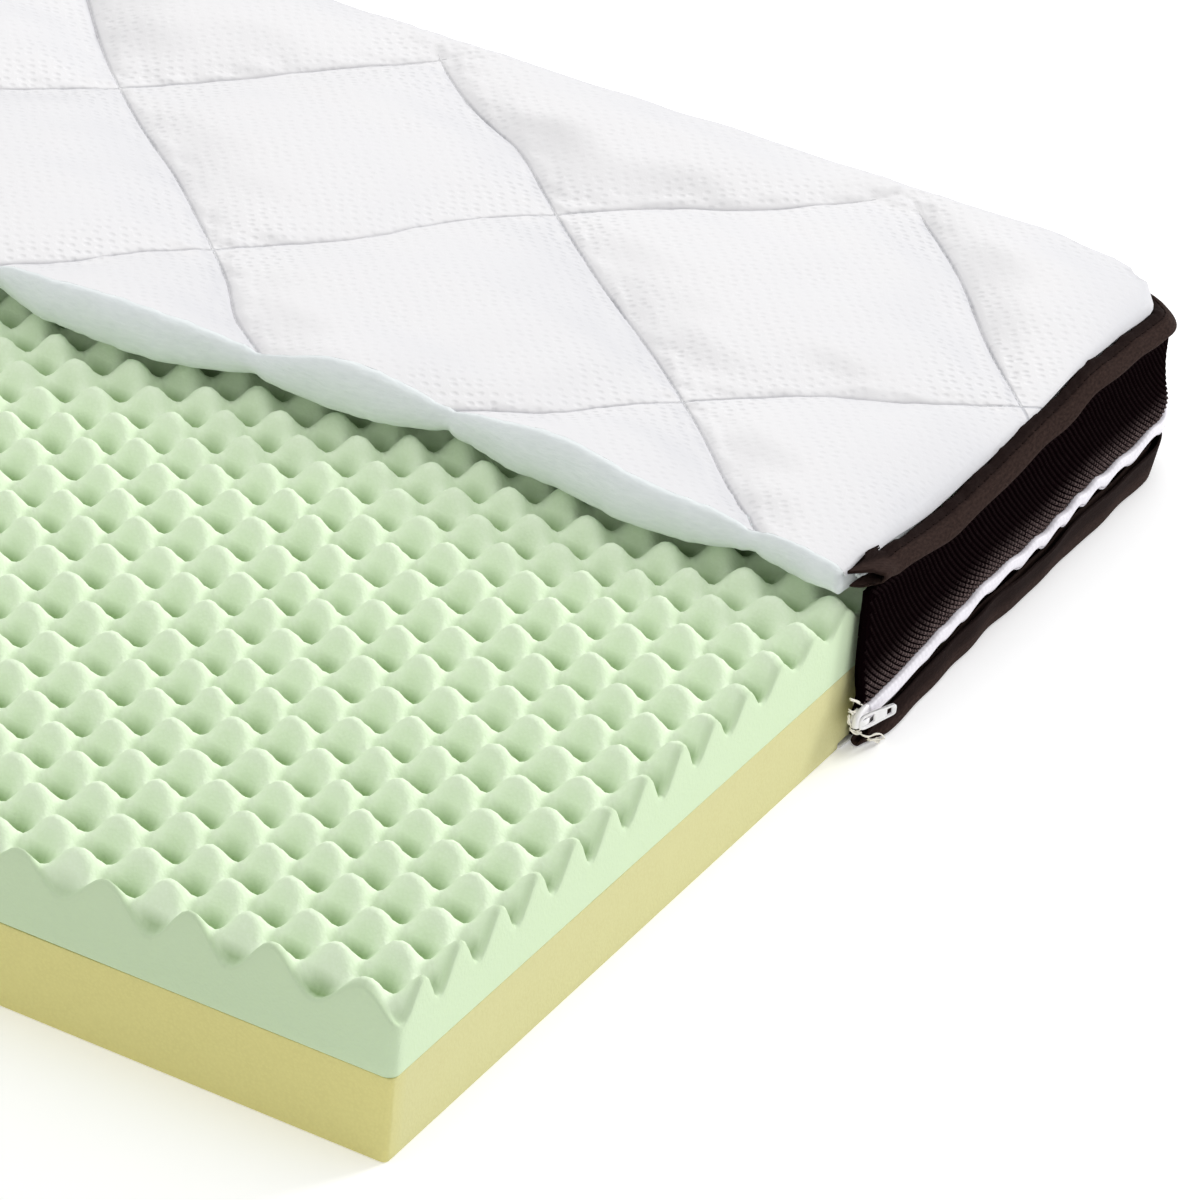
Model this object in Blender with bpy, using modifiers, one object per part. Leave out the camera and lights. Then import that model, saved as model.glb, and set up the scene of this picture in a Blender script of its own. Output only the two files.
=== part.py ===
"""A cot mattress topper, cut open to show its layers.

Two glued foam slabs, the upper one egg-crate, lie half inside a zipped cover: a quilted top
panel, a spacer mesh side band with taped seams and a coil zip, and a thin bottom panel. The
cover is cut away along the middle, so the near half of the foam is bare.

Metres, +Z up. The origin is on the floor at the middle of the foam; +X runs across the width
to the covered long side and +Y runs along the length.
"""

from math import ceil, cos, hypot, pi, radians, sin
from typing import NamedTuple

import bmesh
import bpy
from mathutils import Matrix, Vector

MM = 0.001

# Foam core
WIDTH = 600 * MM
LENGTH = 1200 * MM
BASE_HEIGHT = 33 * MM
PRESSED_HEIGHT = 66.5 * MM      # top of the comfort foam deep under the cover
HIDDEN_CORNER = 26 * MM         # the cover presses the covered corners round
GAP = 0.3 * MM                  # between touching pieces

# Egg-crate bumps: a cosine product on a lattice that is turned a little to the edges
BUMP_MIDDLE = 59.0 * MM
BUMP_SWING = 7.5 * MM
BUMP_PITCH_X = 25.05 * MM
BUMP_PITCH_Y = 33.06 * MM
BUMP_TURN = radians(1.77)
FIRST_PIT = Vector((-136.3 * MM, -513.8 * MM))
BUMP_END_X = 45 * MM            # last full bump, under the cut edge of the cover

# Cover
CUT_X = 27 * MM                 # where the border is cut, at both ends
SIDE_BULGE = 6 * MM             # the cover stands this far off the foam's long side
SIDE_CORNER = 26 * MM           # plan radius of the cover's corners
PANEL_EDGE = 2.6 * MM           # the top panel stops this far inside the border's line
TOP_CUT_X = 20 * MM             # the cut edge of the top panel's knit, before it wanders
CUT_PULL = 45 * MM              # how far in the cloth follows the wandering edge
CUT_REACH_X = 32 * MM           # no point of the cut edge lies past this
BATTING_OUT = 4 * MM            # the batting sticks out under the knit
BATTING_CHAMFER = 1 * MM
PANEL_UNDERSIDE = PRESSED_HEIGHT + GAP
UNDERSIDE_IN = 6 * MM           # the flat underside starts this far in from the sewn edges
SEAM_THICKNESS = 2.6 * MM       # the top panel is pinched to this where it is sewn
PANEL_THICKNESS = 2 * MM        # bottom panel
PANEL_CUT_X = CUT_X - 4 * MM    # it sticks out a little under the foam
PANEL_OUT = 1.2 * MM            # its edge lies this far outside the border's line

# Quilting of the top panel
QUILT_X = 200 * MM              # full pitch of the diamonds across
QUILT_Y = 209 * MM              # and along
QUILT_NODE = Vector((89 * MM, -487 * MM))
QUILT_STEPS = 8                 # grid steps along one side of a diamond
LINE_HEIGHT = 77 * MM           # top surface at a quilting line near the cut
LINE_CLIMB = 7 * MM             # the last lines before the long side lie higher
PUFF_RISE = 9 * MM
PUFF_ROUNDNESS = 0.45           # lower is flatter on top and steeper at the lines
LAST_PUFF = 0.6                 # share of PUFF_RISE that runs all along the long side
LAST_PUFF_WIDTH = 26 * MM
END_SHOULDER = 40 * MM          # the panel falls to its seam over this width at the ends
LONG_SHOULDER = 9 * MM          # and over this width at the long side and the corners

# Zip
TAPE_HALF = 3.4 * MM            # where the tape is sewn in, half of what is left bare
FREE_TAPE_HALF = 7.5 * MM       # half of its whole width, past the cut
COIL_HALF = 3.5 * MM
FREE_END = 7 * MM               # zip tape and top binding stick out past the cut

CORNER_STEPS = 5
FACET_ROOM = 1 * MM             # flat facets on a corner need this much room
SIDE_STEP = 46 * MM             # longest station spacing on the straight stretches
SHORTEST_STEP = 3 * MM


class Section(NamedTuple):
    """Heights and reach of the border in mm, at a distance along it from the cut."""
    along: float
    seam: float     # middle of the top binding
    zip: float      # middle of the zip coil
    foot: float     # how far the bottom binding flares out


BORDER_RUN = (
    Section(along=0, seam=71.0, zip=15.0, foot=6.5),
    Section(along=18, seam=70.0, zip=15.5, foot=11.0),
    Section(along=63, seam=65.8, zip=20.5, foot=9.0),
    Section(along=103, seam=66.8, zip=24.0, foot=7.5),
    Section(along=148, seam=69.3, zip=23.0, foot=7.0),
    Section(along=188, seam=72.8, zip=25.5, foot=7.0),
    Section(along=223, seam=71.8, zip=24.5, foot=6.8),
    Section(along=250, seam=70.6, zip=25.5, foot=6.6),
    Section(along=300, seam=68.5, zip=25.0, foot=6.6),
)


class CutPoint(NamedTuple):
    """A point of the top panel's cut edge, in mm; both halves of the length are alike."""
    from_end: float     # distance from the nearer end
    x: float
    lift: float         # the released cloth stands this much higher


CUT_EDGE = (
    CutPoint(from_end=0, x=18, lift=0),
    CutPoint(from_end=43, x=22, lift=0),
    CutPoint(from_end=90, x=20, lift=0),
    CutPoint(from_end=130, x=27, lift=1),
    CutPoint(from_end=171, x=30, lift=1),
    CutPoint(from_end=215, x=25, lift=6),
    CutPoint(from_end=262, x=22, lift=1),
    CutPoint(from_end=310, x=16, lift=1),
    CutPoint(from_end=345, x=17, lift=0),
    CutPoint(from_end=374, x=21, lift=0),
    CutPoint(from_end=600, x=20, lift=0),
)


# ---------------------------------------------------------------- helpers

def clear_scene():
    for obj in list(bpy.data.objects):
        bpy.data.objects.remove(obj, do_unlink=True)


def linear(channel):
    return channel / 12.92 if channel <= 0.04045 else ((channel + 0.055) / 1.055) ** 2.4


def make_material(name, colour, roughness, metallic=0.0):
    """A plain Principled material from an sRGB hex colour."""
    material = bpy.data.materials.new(name)
    material.use_nodes = True
    shader = material.node_tree.nodes["Principled BSDF"]
    rgb = [linear(int(colour[i:i + 2], 16) / 255) for i in (0, 2, 4)]
    shader.inputs["Base Color"].default_value = (*rgb, 1)
    shader.inputs["Roughness"].default_value = roughness
    shader.inputs["Metallic"].default_value = metallic
    material.diffuse_color = (*rgb, 1)
    return material


def add_object(name, bm, material, collection):
    """Turn a bmesh into a named object with one material."""
    bmesh.ops.recalc_face_normals(bm, faces=bm.faces)
    mesh = bpy.data.meshes.new(name)
    bm.to_mesh(mesh)
    bm.free()
    mesh.shade_smooth()
    mesh.set_sharp_from_angle(angle=radians(40))
    mesh.materials.append(material)
    obj = bpy.data.objects.new(name, mesh)
    collection.objects.link(obj)
    return obj


def trim(bm, point, outward):
    """Cut away what lies beyond the plane through point, on the outward side."""
    bmesh.ops.bisect_plane(bm, geom=bm.verts[:] + bm.edges[:] + bm.faces[:], dist=1e-7,
                           plane_co=point, plane_no=outward, clear_outer=True)


def extrude_edges(bm, edges):
    """Extrude open edges and return the new vertices, still in the places of the old ones."""
    grown = bmesh.ops.extrude_edge_only(bm, edges=edges)["geom"]
    return [item for item in grown if isinstance(item, bmesh.types.BMVert)]


def extrude_rim(bm):
    """Extrude the whole open rim."""
    return extrude_edges(bm, [edge for edge in bm.edges if edge.is_boundary])


def fill_rim(bm):
    """Close the open rim with one flat face."""
    rim = [edge for edge in bm.edges if edge.is_boundary]
    bmesh.ops.contextual_create(bm, geom=rim)


def smoothstep(t):
    t = min(max(t, 0.0), 1.0)
    return t * t * (3 - 2 * t)


def mix(first, second, share):
    return first + (second - first) * share


# ---------------------------------------------------------------- the border's path

FAR_X = WIDTH / 2 + SIDE_BULGE
CORNER_CENTRE = Vector((FAR_X - SIDE_CORNER, -LENGTH / 2 + SIDE_CORNER))
END_RUN = CORNER_CENTRE.x - CUT_X
CORNER_RUN = SIDE_CORNER * pi / 2
LONG_RUN = LENGTH - 2 * SIDE_CORNER
BORDER_LENGTH = 2 * (END_RUN + CORNER_RUN) + LONG_RUN


def side_frame(along):
    """Point on the border's line and outward direction, at a distance from the cut."""
    mirrored = along > BORDER_LENGTH / 2
    s = BORDER_LENGTH - along if mirrored else along
    if s <= END_RUN:
        point = Vector((CUT_X + s, -LENGTH / 2))
        outward = Vector((0, -1))
    elif s <= END_RUN + CORNER_RUN:
        angle = (s - END_RUN) / SIDE_CORNER
        outward = Vector((sin(angle), -cos(angle)))
        point = CORNER_CENTRE + outward * SIDE_CORNER
    else:
        point = Vector((FAR_X, CORNER_CENTRE.y + s - END_RUN - CORNER_RUN))
        outward = Vector((1, 0))
    if mirrored:
        point.y = -point.y
        outward.y = -outward.y
    return point, outward


def read_row(rows, position):
    """A smooth in-between row of a table whose first column is a position."""
    for low, high in zip(rows, rows[1:]):
        if position <= high[0]:
            t = smoothstep((position - low[0]) / (high[0] - low[0]))
            return type(low)(*(mix(a, b, t) for a, b in zip(low, high)))
    return rows[-1]


def section_at(along):
    """The border's section at a distance along it; both cut ends are alike."""
    return read_row(BORDER_RUN, min(along, BORDER_LENGTH - along) / MM)


def stations(start, end):
    """Distances along the border: the section rows, the corners and an even fill."""
    marks = [start, end]
    marks += [row.along * MM for row in BORDER_RUN[:-1]]
    marks += [END_RUN + CORNER_RUN * i / CORNER_STEPS for i in range(CORNER_STEPS + 1)]
    marks += [BORDER_LENGTH - mark for mark in marks[2:]]
    marks = sorted({round(mark, 6) for mark in marks if start <= mark <= end})
    kept = [marks[0]]
    for mark in marks[1:]:
        if mark - kept[-1] < SHORTEST_STEP and mark != marks[-1]:
            continue
        first = kept[-1]
        count = ceil((mark - first) / SIDE_STEP)
        kept += [mix(first, mark, i / count) for i in range(1, count + 1)]
    return kept


def loft(name, profile, start, end, material, collection):
    """Sweep profile(along), a closed loop of (out, height) in mm, along the border."""
    bm = bmesh.new()
    rings = []
    for along in stations(start, end):
        point, outward = side_frame(along)
        ring = []
        for out, height in profile(along):
            spot = point + outward * out * MM
            ring.append(bm.verts.new((spot.x, spot.y, height * MM)))
        rings.append(ring)
    for ring, following in zip(rings, rings[1:]):
        for i in range(len(ring)):
            j = (i + 1) % len(ring)
            bm.faces.new((ring[i], ring[j], following[j], following[i]))
    bm.faces.new(rings[0])
    bm.faces.new(rings[-1])
    return add_object(name, bm, material, collection)


def roll(top, bottom, half_thickness):
    """A flat tape rolled over a seam: a capsule from top to bottom, as eight points."""
    (out_a, high_a), (out_b, high_b) = top, bottom
    length = hypot(out_b - out_a, high_b - high_a)
    ux, uz = (out_b - out_a) / length, (high_b - high_a) / length
    points = []
    for (out, high), first_angle in ((top, 90), (bottom, -90)):
        for step in range(4):
            angle = radians(first_angle + 60 * step)
            along, across = cos(angle) * half_thickness, sin(angle) * half_thickness
            points.append((out + ux * along - uz * across, high + uz * along + ux * across))
    return points


# ---------------------------------------------------------------- foam

def bump_height(x, y):
    """Height of the egg-crate surface, with a pit at FIRST_PIT."""
    dx, dy = x - FIRST_PIT.x, y - FIRST_PIT.y
    across = dx * cos(BUMP_TURN) + dy * sin(BUMP_TURN)
    along = dy * cos(BUMP_TURN) - dx * sin(BUMP_TURN)
    wave = cos(2 * pi * across / BUMP_PITCH_X) * cos(2 * pi * along / BUMP_PITCH_Y)
    return BUMP_MIDDLE - BUMP_SWING * wave


def build_base_foam(material, collection, cutters):
    """The lower slab: a block, round at its covered corners, seated on the bottom panel."""
    bpy.ops.mesh.primitive_cube_add(size=1, location=(0, 0, BASE_HEIGHT / 2))
    block = bpy.context.object
    block.name = block.data.name = "base_foam"
    block.data.transform(Matrix.Diagonal((WIDTH, LENGTH, BASE_HEIGHT, 1)))
    block.data.materials.append(material)
    weights = block.data.attributes.new("bevel_weight_edge", "FLOAT", "EDGE")
    for edge in block.data.edges:
        ends = [block.data.vertices[i].co for i in edge.vertices]
        upright = abs(ends[0].z - ends[1].z) > BASE_HEIGHT / 2
        weights.data[edge.index].value = float(upright and ends[0].x > 0)
    bevel = block.modifiers.new("round covered corners", "BEVEL")
    bevel.limit_method = "WEIGHT"
    bevel.width = HIDDEN_CORNER
    bevel.segments = CORNER_STEPS

    bpy.ops.mesh.primitive_cube_add(size=1)
    seat = bpy.context.object
    seat.name = "bottom_panel_seat"
    depth = PANEL_THICKNESS + GAP
    seat.data.transform(Matrix.Diagonal((WIDTH, LENGTH * 1.1, 2 * depth, 1)))
    seat.location = (PANEL_CUT_X - GAP + WIDTH / 2, 0, 0)
    seat.hide_render = True
    seat.display_type = "WIRE"
    cut = block.modifiers.new("seat on the bottom panel", "BOOLEAN")
    cut.object = seat
    cut.operation = "DIFFERENCE"
    for obj, target in ((block, collection), (seat, cutters)):
        for owner in obj.users_collection:
            owner.objects.unlink(obj)
        target.objects.link(obj)


def build_comfort_foam(material, collection):
    """The upper slab: bumps where it is bare, pressed flat under the cover."""
    bm = bmesh.new()
    half_x, half_y = BUMP_PITCH_X / 2, BUMP_PITCH_Y / 2
    across = 2 * ceil(WIDTH / BUMP_PITCH_X)
    along = 2 * ceil(1.1 * LENGTH / BUMP_PITCH_Y)
    size = Matrix.Diagonal((across * half_x / 2, along * half_y / 2, 1, 1))
    bmesh.ops.create_grid(bm, x_segments=across, y_segments=along, size=1, matrix=size)
    rows_to_middle = round(-FIRST_PIT.y / half_y)
    place = Matrix.Translation((*FIRST_PIT, 0)) @ Matrix.Rotation(BUMP_TURN, 4, "Z")
    place = place @ Matrix.Translation((0, rows_to_middle * half_y, 0))
    bmesh.ops.transform(bm, matrix=place, verts=bm.verts)
    bmesh.ops.poke(bm, faces=bm.faces)
    for vert in bm.verts:
        vert.co.z = bump_height(vert.co.x, vert.co.y)
    trim(bm, (-WIDTH / 2, 0, 0), (-1, 0, 0))
    trim(bm, (BUMP_END_X, 0, 0), (1, 0, 0))
    trim(bm, (0, -LENGTH / 2, 0), (0, -1, 0))
    trim(bm, (0, LENGTH / 2, 0), (0, 1, 0))

    # From the last bumps a short slope leads to the pressed part.
    slope_end = BUMP_END_X + 2 * MM
    last = [edge for edge in bm.edges if edge.is_boundary
            and all(abs(vert.co.x - BUMP_END_X) < 1e-6 for vert in edge.verts)]
    pressed_rim = extrude_edges(bm, last)
    for vert in pressed_rim:
        vert.co.x = slope_end
        vert.co.z = PRESSED_HEIGHT
    pressed_rim.sort(key=lambda vert: vert.co.y)

    outline = []
    for side in (1, -1):
        for step in range(CORNER_STEPS + 1):
            angle = pi / 2 * step / CORNER_STEPS
            x = WIDTH / 2 - HIDDEN_CORNER * (1 - sin(angle))
            y = side * (LENGTH / 2 - HIDDEN_CORNER * (1 - cos(angle)))
            outline.append(bm.verts.new((x, y, PRESSED_HEIGHT)))
    outline.sort(key=lambda vert: -vert.co.y)
    bm.faces.new(pressed_rim + outline)

    for vert in extrude_rim(bm):
        vert.co.z = BASE_HEIGHT + GAP
    fill_rim(bm)
    add_object("comfort_foam", bm, material, collection)


# ---------------------------------------------------------------- cover panels

def shoulder(x, y):
    """0 at the top panel's sewn edges, 1 where it lies level."""
    from_end = LENGTH / 2 - PANEL_EDGE - abs(y)
    from_long = FAR_X - PANEL_EDGE - x
    shares = [1.0, from_end / END_SHOULDER, from_long / LONG_SHOULDER]
    past_x, past_y = x - CORNER_CENTRE.x, abs(y) + CORNER_CENTRE.y
    if past_x > 0 and past_y > 0:
        from_corner = SIDE_CORNER - PANEL_EDGE - hypot(past_x, past_y)
        shares.append(from_corner / LONG_SHOULDER)
    share = max(min(shares), 0.0)
    return (1 - (1 - share) ** 2) ** 0.5


def border_place(x, y):
    """Distance along the border of the point nearest to (x, y)."""
    if LENGTH / 2 - abs(y) < FAR_X - x:
        along = min(x, CORNER_CENTRE.x) - CUT_X
    else:
        along = END_RUN + CORNER_RUN + max(-CORNER_CENTRE.y - abs(y), 0)
    return along if y < 0 else BORDER_LENGTH - along


def puff(x, y):
    """0 on a quilting line, 1 in the middle of a diamond; at the long side the lines fade."""
    a, b = (x - QUILT_NODE.x) / QUILT_X, (y - QUILT_NODE.y) / QUILT_Y
    quilted = abs(sin(pi * (a + b)) * sin(pi * (a - b))) ** PUFF_ROUNDNESS
    fade = smoothstep(1 - (FAR_X - LONG_SHOULDER - x) / LAST_PUFF_WIDTH)
    return mix(quilted, LAST_PUFF, fade)


def panel_top(x, y):
    """Height of the quilted panel's upper face."""
    seam_top = (section_at(border_place(x, y)).seam + 4) * MM
    last_line = QUILT_NODE.x + QUILT_X
    line = LINE_HEIGHT + LINE_CLIMB * smoothstep(1 - 2 * (last_line - x) / QUILT_X)
    quilted = line + PUFF_RISE * puff(x, y)
    return mix(seam_top, quilted, shoulder(x, y))


def follow_cut(vert):
    """Move a vertex near the cut with the cloth, which wanders and lifts there."""
    cut = read_row(CUT_EDGE, (LENGTH / 2 - abs(vert.co.y)) / MM)
    share = smoothstep(1 - (vert.co.x - TOP_CUT_X) / CUT_PULL)
    vert.co.x += (cut.x * MM - TOP_CUT_X) * share
    vert.co.z += cut.lift * MM * share


def build_cover_top(material, collection):
    """Knit quilted to batting: diamond puffs, thin at the sewn edges, cut open on one side."""
    bm = bmesh.new()
    reach = ceil(LENGTH / QUILT_Y + 1)
    segments = 2 * reach * QUILT_STEPS
    bmesh.ops.create_grid(bm, x_segments=segments, y_segments=segments, size=reach)
    for vert in bm.verts:
        p, q = vert.co.x, vert.co.y
        vert.co.x = QUILT_NODE.x + QUILT_X * (p + q) / 2
        vert.co.y = QUILT_NODE.y + QUILT_Y * (p - q) / 2
    far_x, end_y = FAR_X - PANEL_EDGE, LENGTH / 2 - PANEL_EDGE
    trim(bm, (TOP_CUT_X, 0, 0), (-1, 0, 0))
    trim(bm, (far_x, 0, 0), (1, 0, 0))
    radius = SIDE_CORNER - PANEL_EDGE - FACET_ROOM
    for side in (1, -1):
        trim(bm, (0, side * end_y, 0), (0, side, 0))
        for step in range(1, CORNER_STEPS):
            angle = pi / 2 * step / CORNER_STEPS
            outward = Vector((sin(angle), side * cos(angle), 0))
            centre = Vector((CORNER_CENTRE.x, -side * CORNER_CENTRE.y, 0))
            trim(bm, centre + outward * radius, outward)
    for vert in bm.verts:
        vert.co.z = panel_top(vert.co.x, vert.co.y)
        follow_cut(vert)

    # The rim: at the cut it is as thick as the batting, at the sewn edges pinched thin.
    for vert in extrude_rim(bm):
        if vert.co.x < CUT_REACH_X:
            vert.co.z = PANEL_UNDERSIDE + BATTING_CHAMFER
            vert.co.x -= BATTING_OUT
        else:
            vert.co.z -= SEAM_THICKNESS
    middle_x = (TOP_CUT_X + far_x) / 2
    shrink_x = 1 - 2 * UNDERSIDE_IN / (far_x - TOP_CUT_X)
    shrink_y = 1 - UNDERSIDE_IN / end_y
    for vert in extrude_rim(bm):
        vert.co.x = mix(middle_x, vert.co.x, shrink_x)
        vert.co.y *= shrink_y
        vert.co.z = PANEL_UNDERSIDE
    fill_rim(bm)
    add_object("cover_top", bm, material, collection)


def build_cover_bottom(material, collection):
    """The thin panel under the foam: a flat outline with round covered corners."""
    corner = SIDE_CORNER + PANEL_OUT
    end_y = LENGTH / 2 + PANEL_OUT
    points = [(PANEL_CUT_X, end_y), (PANEL_CUT_X, -end_y)]
    for side in (-1, 1):
        arc = []
        for step in range(CORNER_STEPS + 1):
            angle = pi / 2 * step / CORNER_STEPS
            arc.append((CORNER_CENTRE.x + corner * sin(angle),
                        side * (-CORNER_CENTRE.y + corner * cos(angle))))
        points += arc if side < 0 else arc[::-1]
    curve = bpy.data.curves.new("cover_bottom", "CURVE")
    curve.dimensions = "2D"
    curve.fill_mode = "BOTH"
    curve.extrude = PANEL_THICKNESS / 2
    spline = curve.splines.new("POLY")
    spline.points.add(len(points) - 1)
    for slot, (x, y) in zip(spline.points, points):
        slot.co = (x, y, 0, 1)
    spline.use_cyclic_u = True
    curve.materials.append(material)
    panel = bpy.data.objects.new("cover_bottom", curve)
    panel.location.z = PANEL_THICKNESS / 2
    collection.objects.link(panel)


# ---------------------------------------------------------------- border pieces

# The profiles are in mm: (out from the border's line, height above the floor).

def top_binding_profile(along):
    """Folded tape that leans outwards over the seam."""
    seam = section_at(along).seam
    return roll((1.1, seam + 3.5), (6.0, seam - 1.0), 2.5)


def mesh_profile(along):
    """Spacer mesh: tucked under the top binding, hollow in the middle, out at the zip."""
    section = section_at(along)
    top, bottom = section.seam - 4.0, section.zip + 3.8
    rise = top - bottom
    outer = [(8.4, bottom), (7.6, bottom + 0.12 * rise), (5.4, bottom + 0.35 * rise),
             (4.6, bottom + 0.65 * rise), (5.2, top)]
    inner = [(max(out - 2.8, 1.8), height) for out, height in reversed(outer)]
    return outer + inner


def coil_profile(along):
    """The closed coil, as a flat six-sided bar."""
    middle, half = section_at(along).zip, COIL_HALF / MM
    return [(5.6, middle - 0.75 * half), (7.2, middle - half), (8.8, middle - 0.55 * half),
            (8.8, middle + 0.55 * half), (7.2, middle + half), (5.6, middle + 0.75 * half)]


def tape_profile(along):
    """Zip tape behind the coil; its free end spreads past the cut."""
    middle = section_at(along).zip
    free = along < -FREE_END / 2 or along > BORDER_LENGTH + FREE_END / 2
    half = (FREE_TAPE_HALF if free else TAPE_HALF) / MM
    return [(4.3, middle - half), (5.3, middle - half), (5.3, middle + half), (4.3, middle + half)]


def lower_strip_profile(along):
    """Thin strip that hangs from the zip and runs behind the bottom binding."""
    middle = section_at(along).zip
    outer = [(3.0, max(middle - 12.5, 4.8)), (3.2, middle - 9), (5.4, middle - 6.3),
             (7.6, middle - 3.8)]
    inner = [(out - 1.5, height) for out, height in reversed(outer)]
    return outer + inner


def bottom_binding_profile(along):
    """A roll that stands on the floor; its lowest points are level with it."""
    section = section_at(along)
    points = roll((6.6, section.zip - 9.3), (section.foot - 2.3, 2.2), 2.3)
    return [(out, 0.0 if height < 1.2 else height) for out, height in points]


class BorderPiece(NamedTuple):
    name: str
    profile: object
    start: float        # distance along the border from its cut; the other end mirrors it
    material: str


BORDER_PIECES = (
    BorderPiece("top_binding", top_binding_profile, -FREE_END, "binding"),
    BorderPiece("border_mesh", mesh_profile, 0.0, "mesh"),
    BorderPiece("zip_tape", tape_profile, -FREE_END, "zip tape"),
    BorderPiece("zip_coil", coil_profile, -GAP, "zip coil"),
    BorderPiece("border_lower", lower_strip_profile, 1 * MM, "mesh"),
    BorderPiece("bottom_binding", bottom_binding_profile, 2 * MM, "binding"),
)


def build_border(materials, collection):
    for piece in BORDER_PIECES:
        loft(piece.name, piece.profile, piece.start, BORDER_LENGTH - piece.start,
             materials[piece.material], collection)


# ---------------------------------------------------------------- zip slider and pull

SLIDER_SIZE = Vector((10, 3.4, 8.6)) * MM
SLIDER_CENTRE = Vector((CUT_X - 5.6 * MM, -LENGTH / 2 - 7.3 * MM, BORDER_RUN[0].zip * MM))
BRIDGE_LENGTH = 6.4 * MM
BRIDGE_HEIGHT = 3.2 * MM        # above the body
BRIDGE_WIDTH = 2.2 * MM
BRIDGE_BAR = 0.9 * MM
PULL_LENGTH = 18.5 * MM
PULL_WIDTH = 5.4 * MM
PULL_THICKNESS = 1.2 * MM
PULL_TILT = radians(18)         # the pull leans away from the side
ROOT_BAR = 1.4 * MM             # the bar of the pull that lies under the bridge


def rounded_outline(length, width, corner, steps=3):
    """A round-cornered rectangle about the origin, anticlockwise."""
    points = []
    for quarter, (sx, sy) in enumerate(((1, 1), (-1, 1), (-1, -1), (1, -1))):
        for step in range(steps + 1):
            angle = pi / 2 * (quarter + step / steps)
            points.append((sx * (length / 2 - corner) + corner * cos(angle),
                           sy * (width / 2 - corner) + corner * sin(angle)))
    return points


def flat_plate(name, outlines, thickness):
    """A curve object: one flat outline with its holes, thickened."""
    curve = bpy.data.curves.new(name, "CURVE")
    curve.dimensions = "2D"
    curve.fill_mode = "BOTH"
    curve.extrude = thickness / 2
    for outline in outlines:
        spline = curve.splines.new("POLY")
        spline.points.add(len(outline) - 1)
        for slot, (x, y) in zip(spline.points, outline):
            slot.co = (x, y, 0, 1)
        spline.use_cyclic_u = True
    return bpy.data.objects.new(name, curve)


def as_mesh(curve_object, collection):
    """A mesh object in the place of a curve object, with its caps welded on."""
    collection.objects.link(curve_object)
    bpy.context.view_layer.update()
    depsgraph = bpy.context.evaluated_depsgraph_get()
    mesh = bpy.data.meshes.new_from_object(curve_object.evaluated_get(depsgraph))
    solid = bpy.data.objects.new(curve_object.name, mesh)
    solid.matrix_world = curve_object.matrix_world.copy()
    bpy.data.objects.remove(curve_object, do_unlink=True)
    bm = bmesh.new()
    bm.from_mesh(mesh)
    bmesh.ops.remove_doubles(bm, verts=bm.verts, dist=1e-6)
    bmesh.ops.recalc_face_normals(bm, faces=bm.faces)
    bm.to_mesh(mesh)
    bm.free()
    collection.objects.link(solid)
    return solid


def build_slider(material, collection, cutters):
    """The slider body and the bridge on it that holds the pull."""
    bpy.ops.mesh.primitive_cube_add(size=1, location=SLIDER_CENTRE)
    body = bpy.context.object
    body.name = body.data.name = "zip_slider"
    body.data.transform(Matrix.Diagonal((*SLIDER_SIZE, 1)))
    body.data.materials.append(material)
    for owner in body.users_collection:
        owner.objects.unlink(body)
    collection.objects.link(body)
    bevel = body.modifiers.new("cast edges", "BEVEL")
    bevel.width = 0.9 * MM
    bevel.segments = 2

    outer = rounded_outline(BRIDGE_LENGTH, 2 * BRIDGE_HEIGHT, 1.2 * MM)
    inner = rounded_outline(BRIDGE_LENGTH - 2 * BRIDGE_BAR, 2 * (BRIDGE_HEIGHT - BRIDGE_BAR),
                            0.6 * MM)
    bridge = flat_plate("slider_bridge", (outer, inner), BRIDGE_WIDTH)
    bridge.location = SLIDER_CENTRE - Vector((0, SLIDER_SIZE.y / 2, 0))
    bridge = as_mesh(bridge, cutters)
    bridge.hide_render = True
    bridge.display_type = "WIRE"
    join = body.modifiers.new("bridge", "BOOLEAN")
    join.object = bridge
    join.operation = "UNION"


def build_pull(material, collection):
    """The pull tab: its root bar lies under the bridge and a square window is at its end."""
    outline = rounded_outline(PULL_LENGTH, PULL_WIDTH, 1.2 * MM)
    window_length, window_width = BRIDGE_LENGTH / 2 + 0.9 * MM, BRIDGE_WIDTH + 0.8 * MM
    window_middle = -PULL_LENGTH / 2 + ROOT_BAR + window_length / 2
    window = [(x + window_middle, y)
              for x, y in rounded_outline(window_length, window_width, 0.4 * MM)]
    hole = [(x + PULL_LENGTH / 2 - 3.2 * MM, y)
            for x, y in rounded_outline(2.4 * MM, 2.4 * MM, 0.3 * MM)]
    pull = flat_plate("zip_pull", (outline, window, hole), PULL_THICKNESS)
    pull.data.materials.append(material)
    root = SLIDER_CENTRE - Vector((0, SLIDER_SIZE.y / 2 + PULL_THICKNESS / 2 + 0.4 * MM, 0))
    turn = Matrix.Rotation(-PULL_TILT, 4, "Z") @ Matrix.Rotation(pi / 2, 4, "X")
    from_root = Matrix.Translation((PULL_LENGTH / 2 - ROOT_BAR / 2, 0, 0))
    pull.matrix_world = Matrix.Translation(root) @ turn @ from_root
    collection.objects.link(pull)


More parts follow.
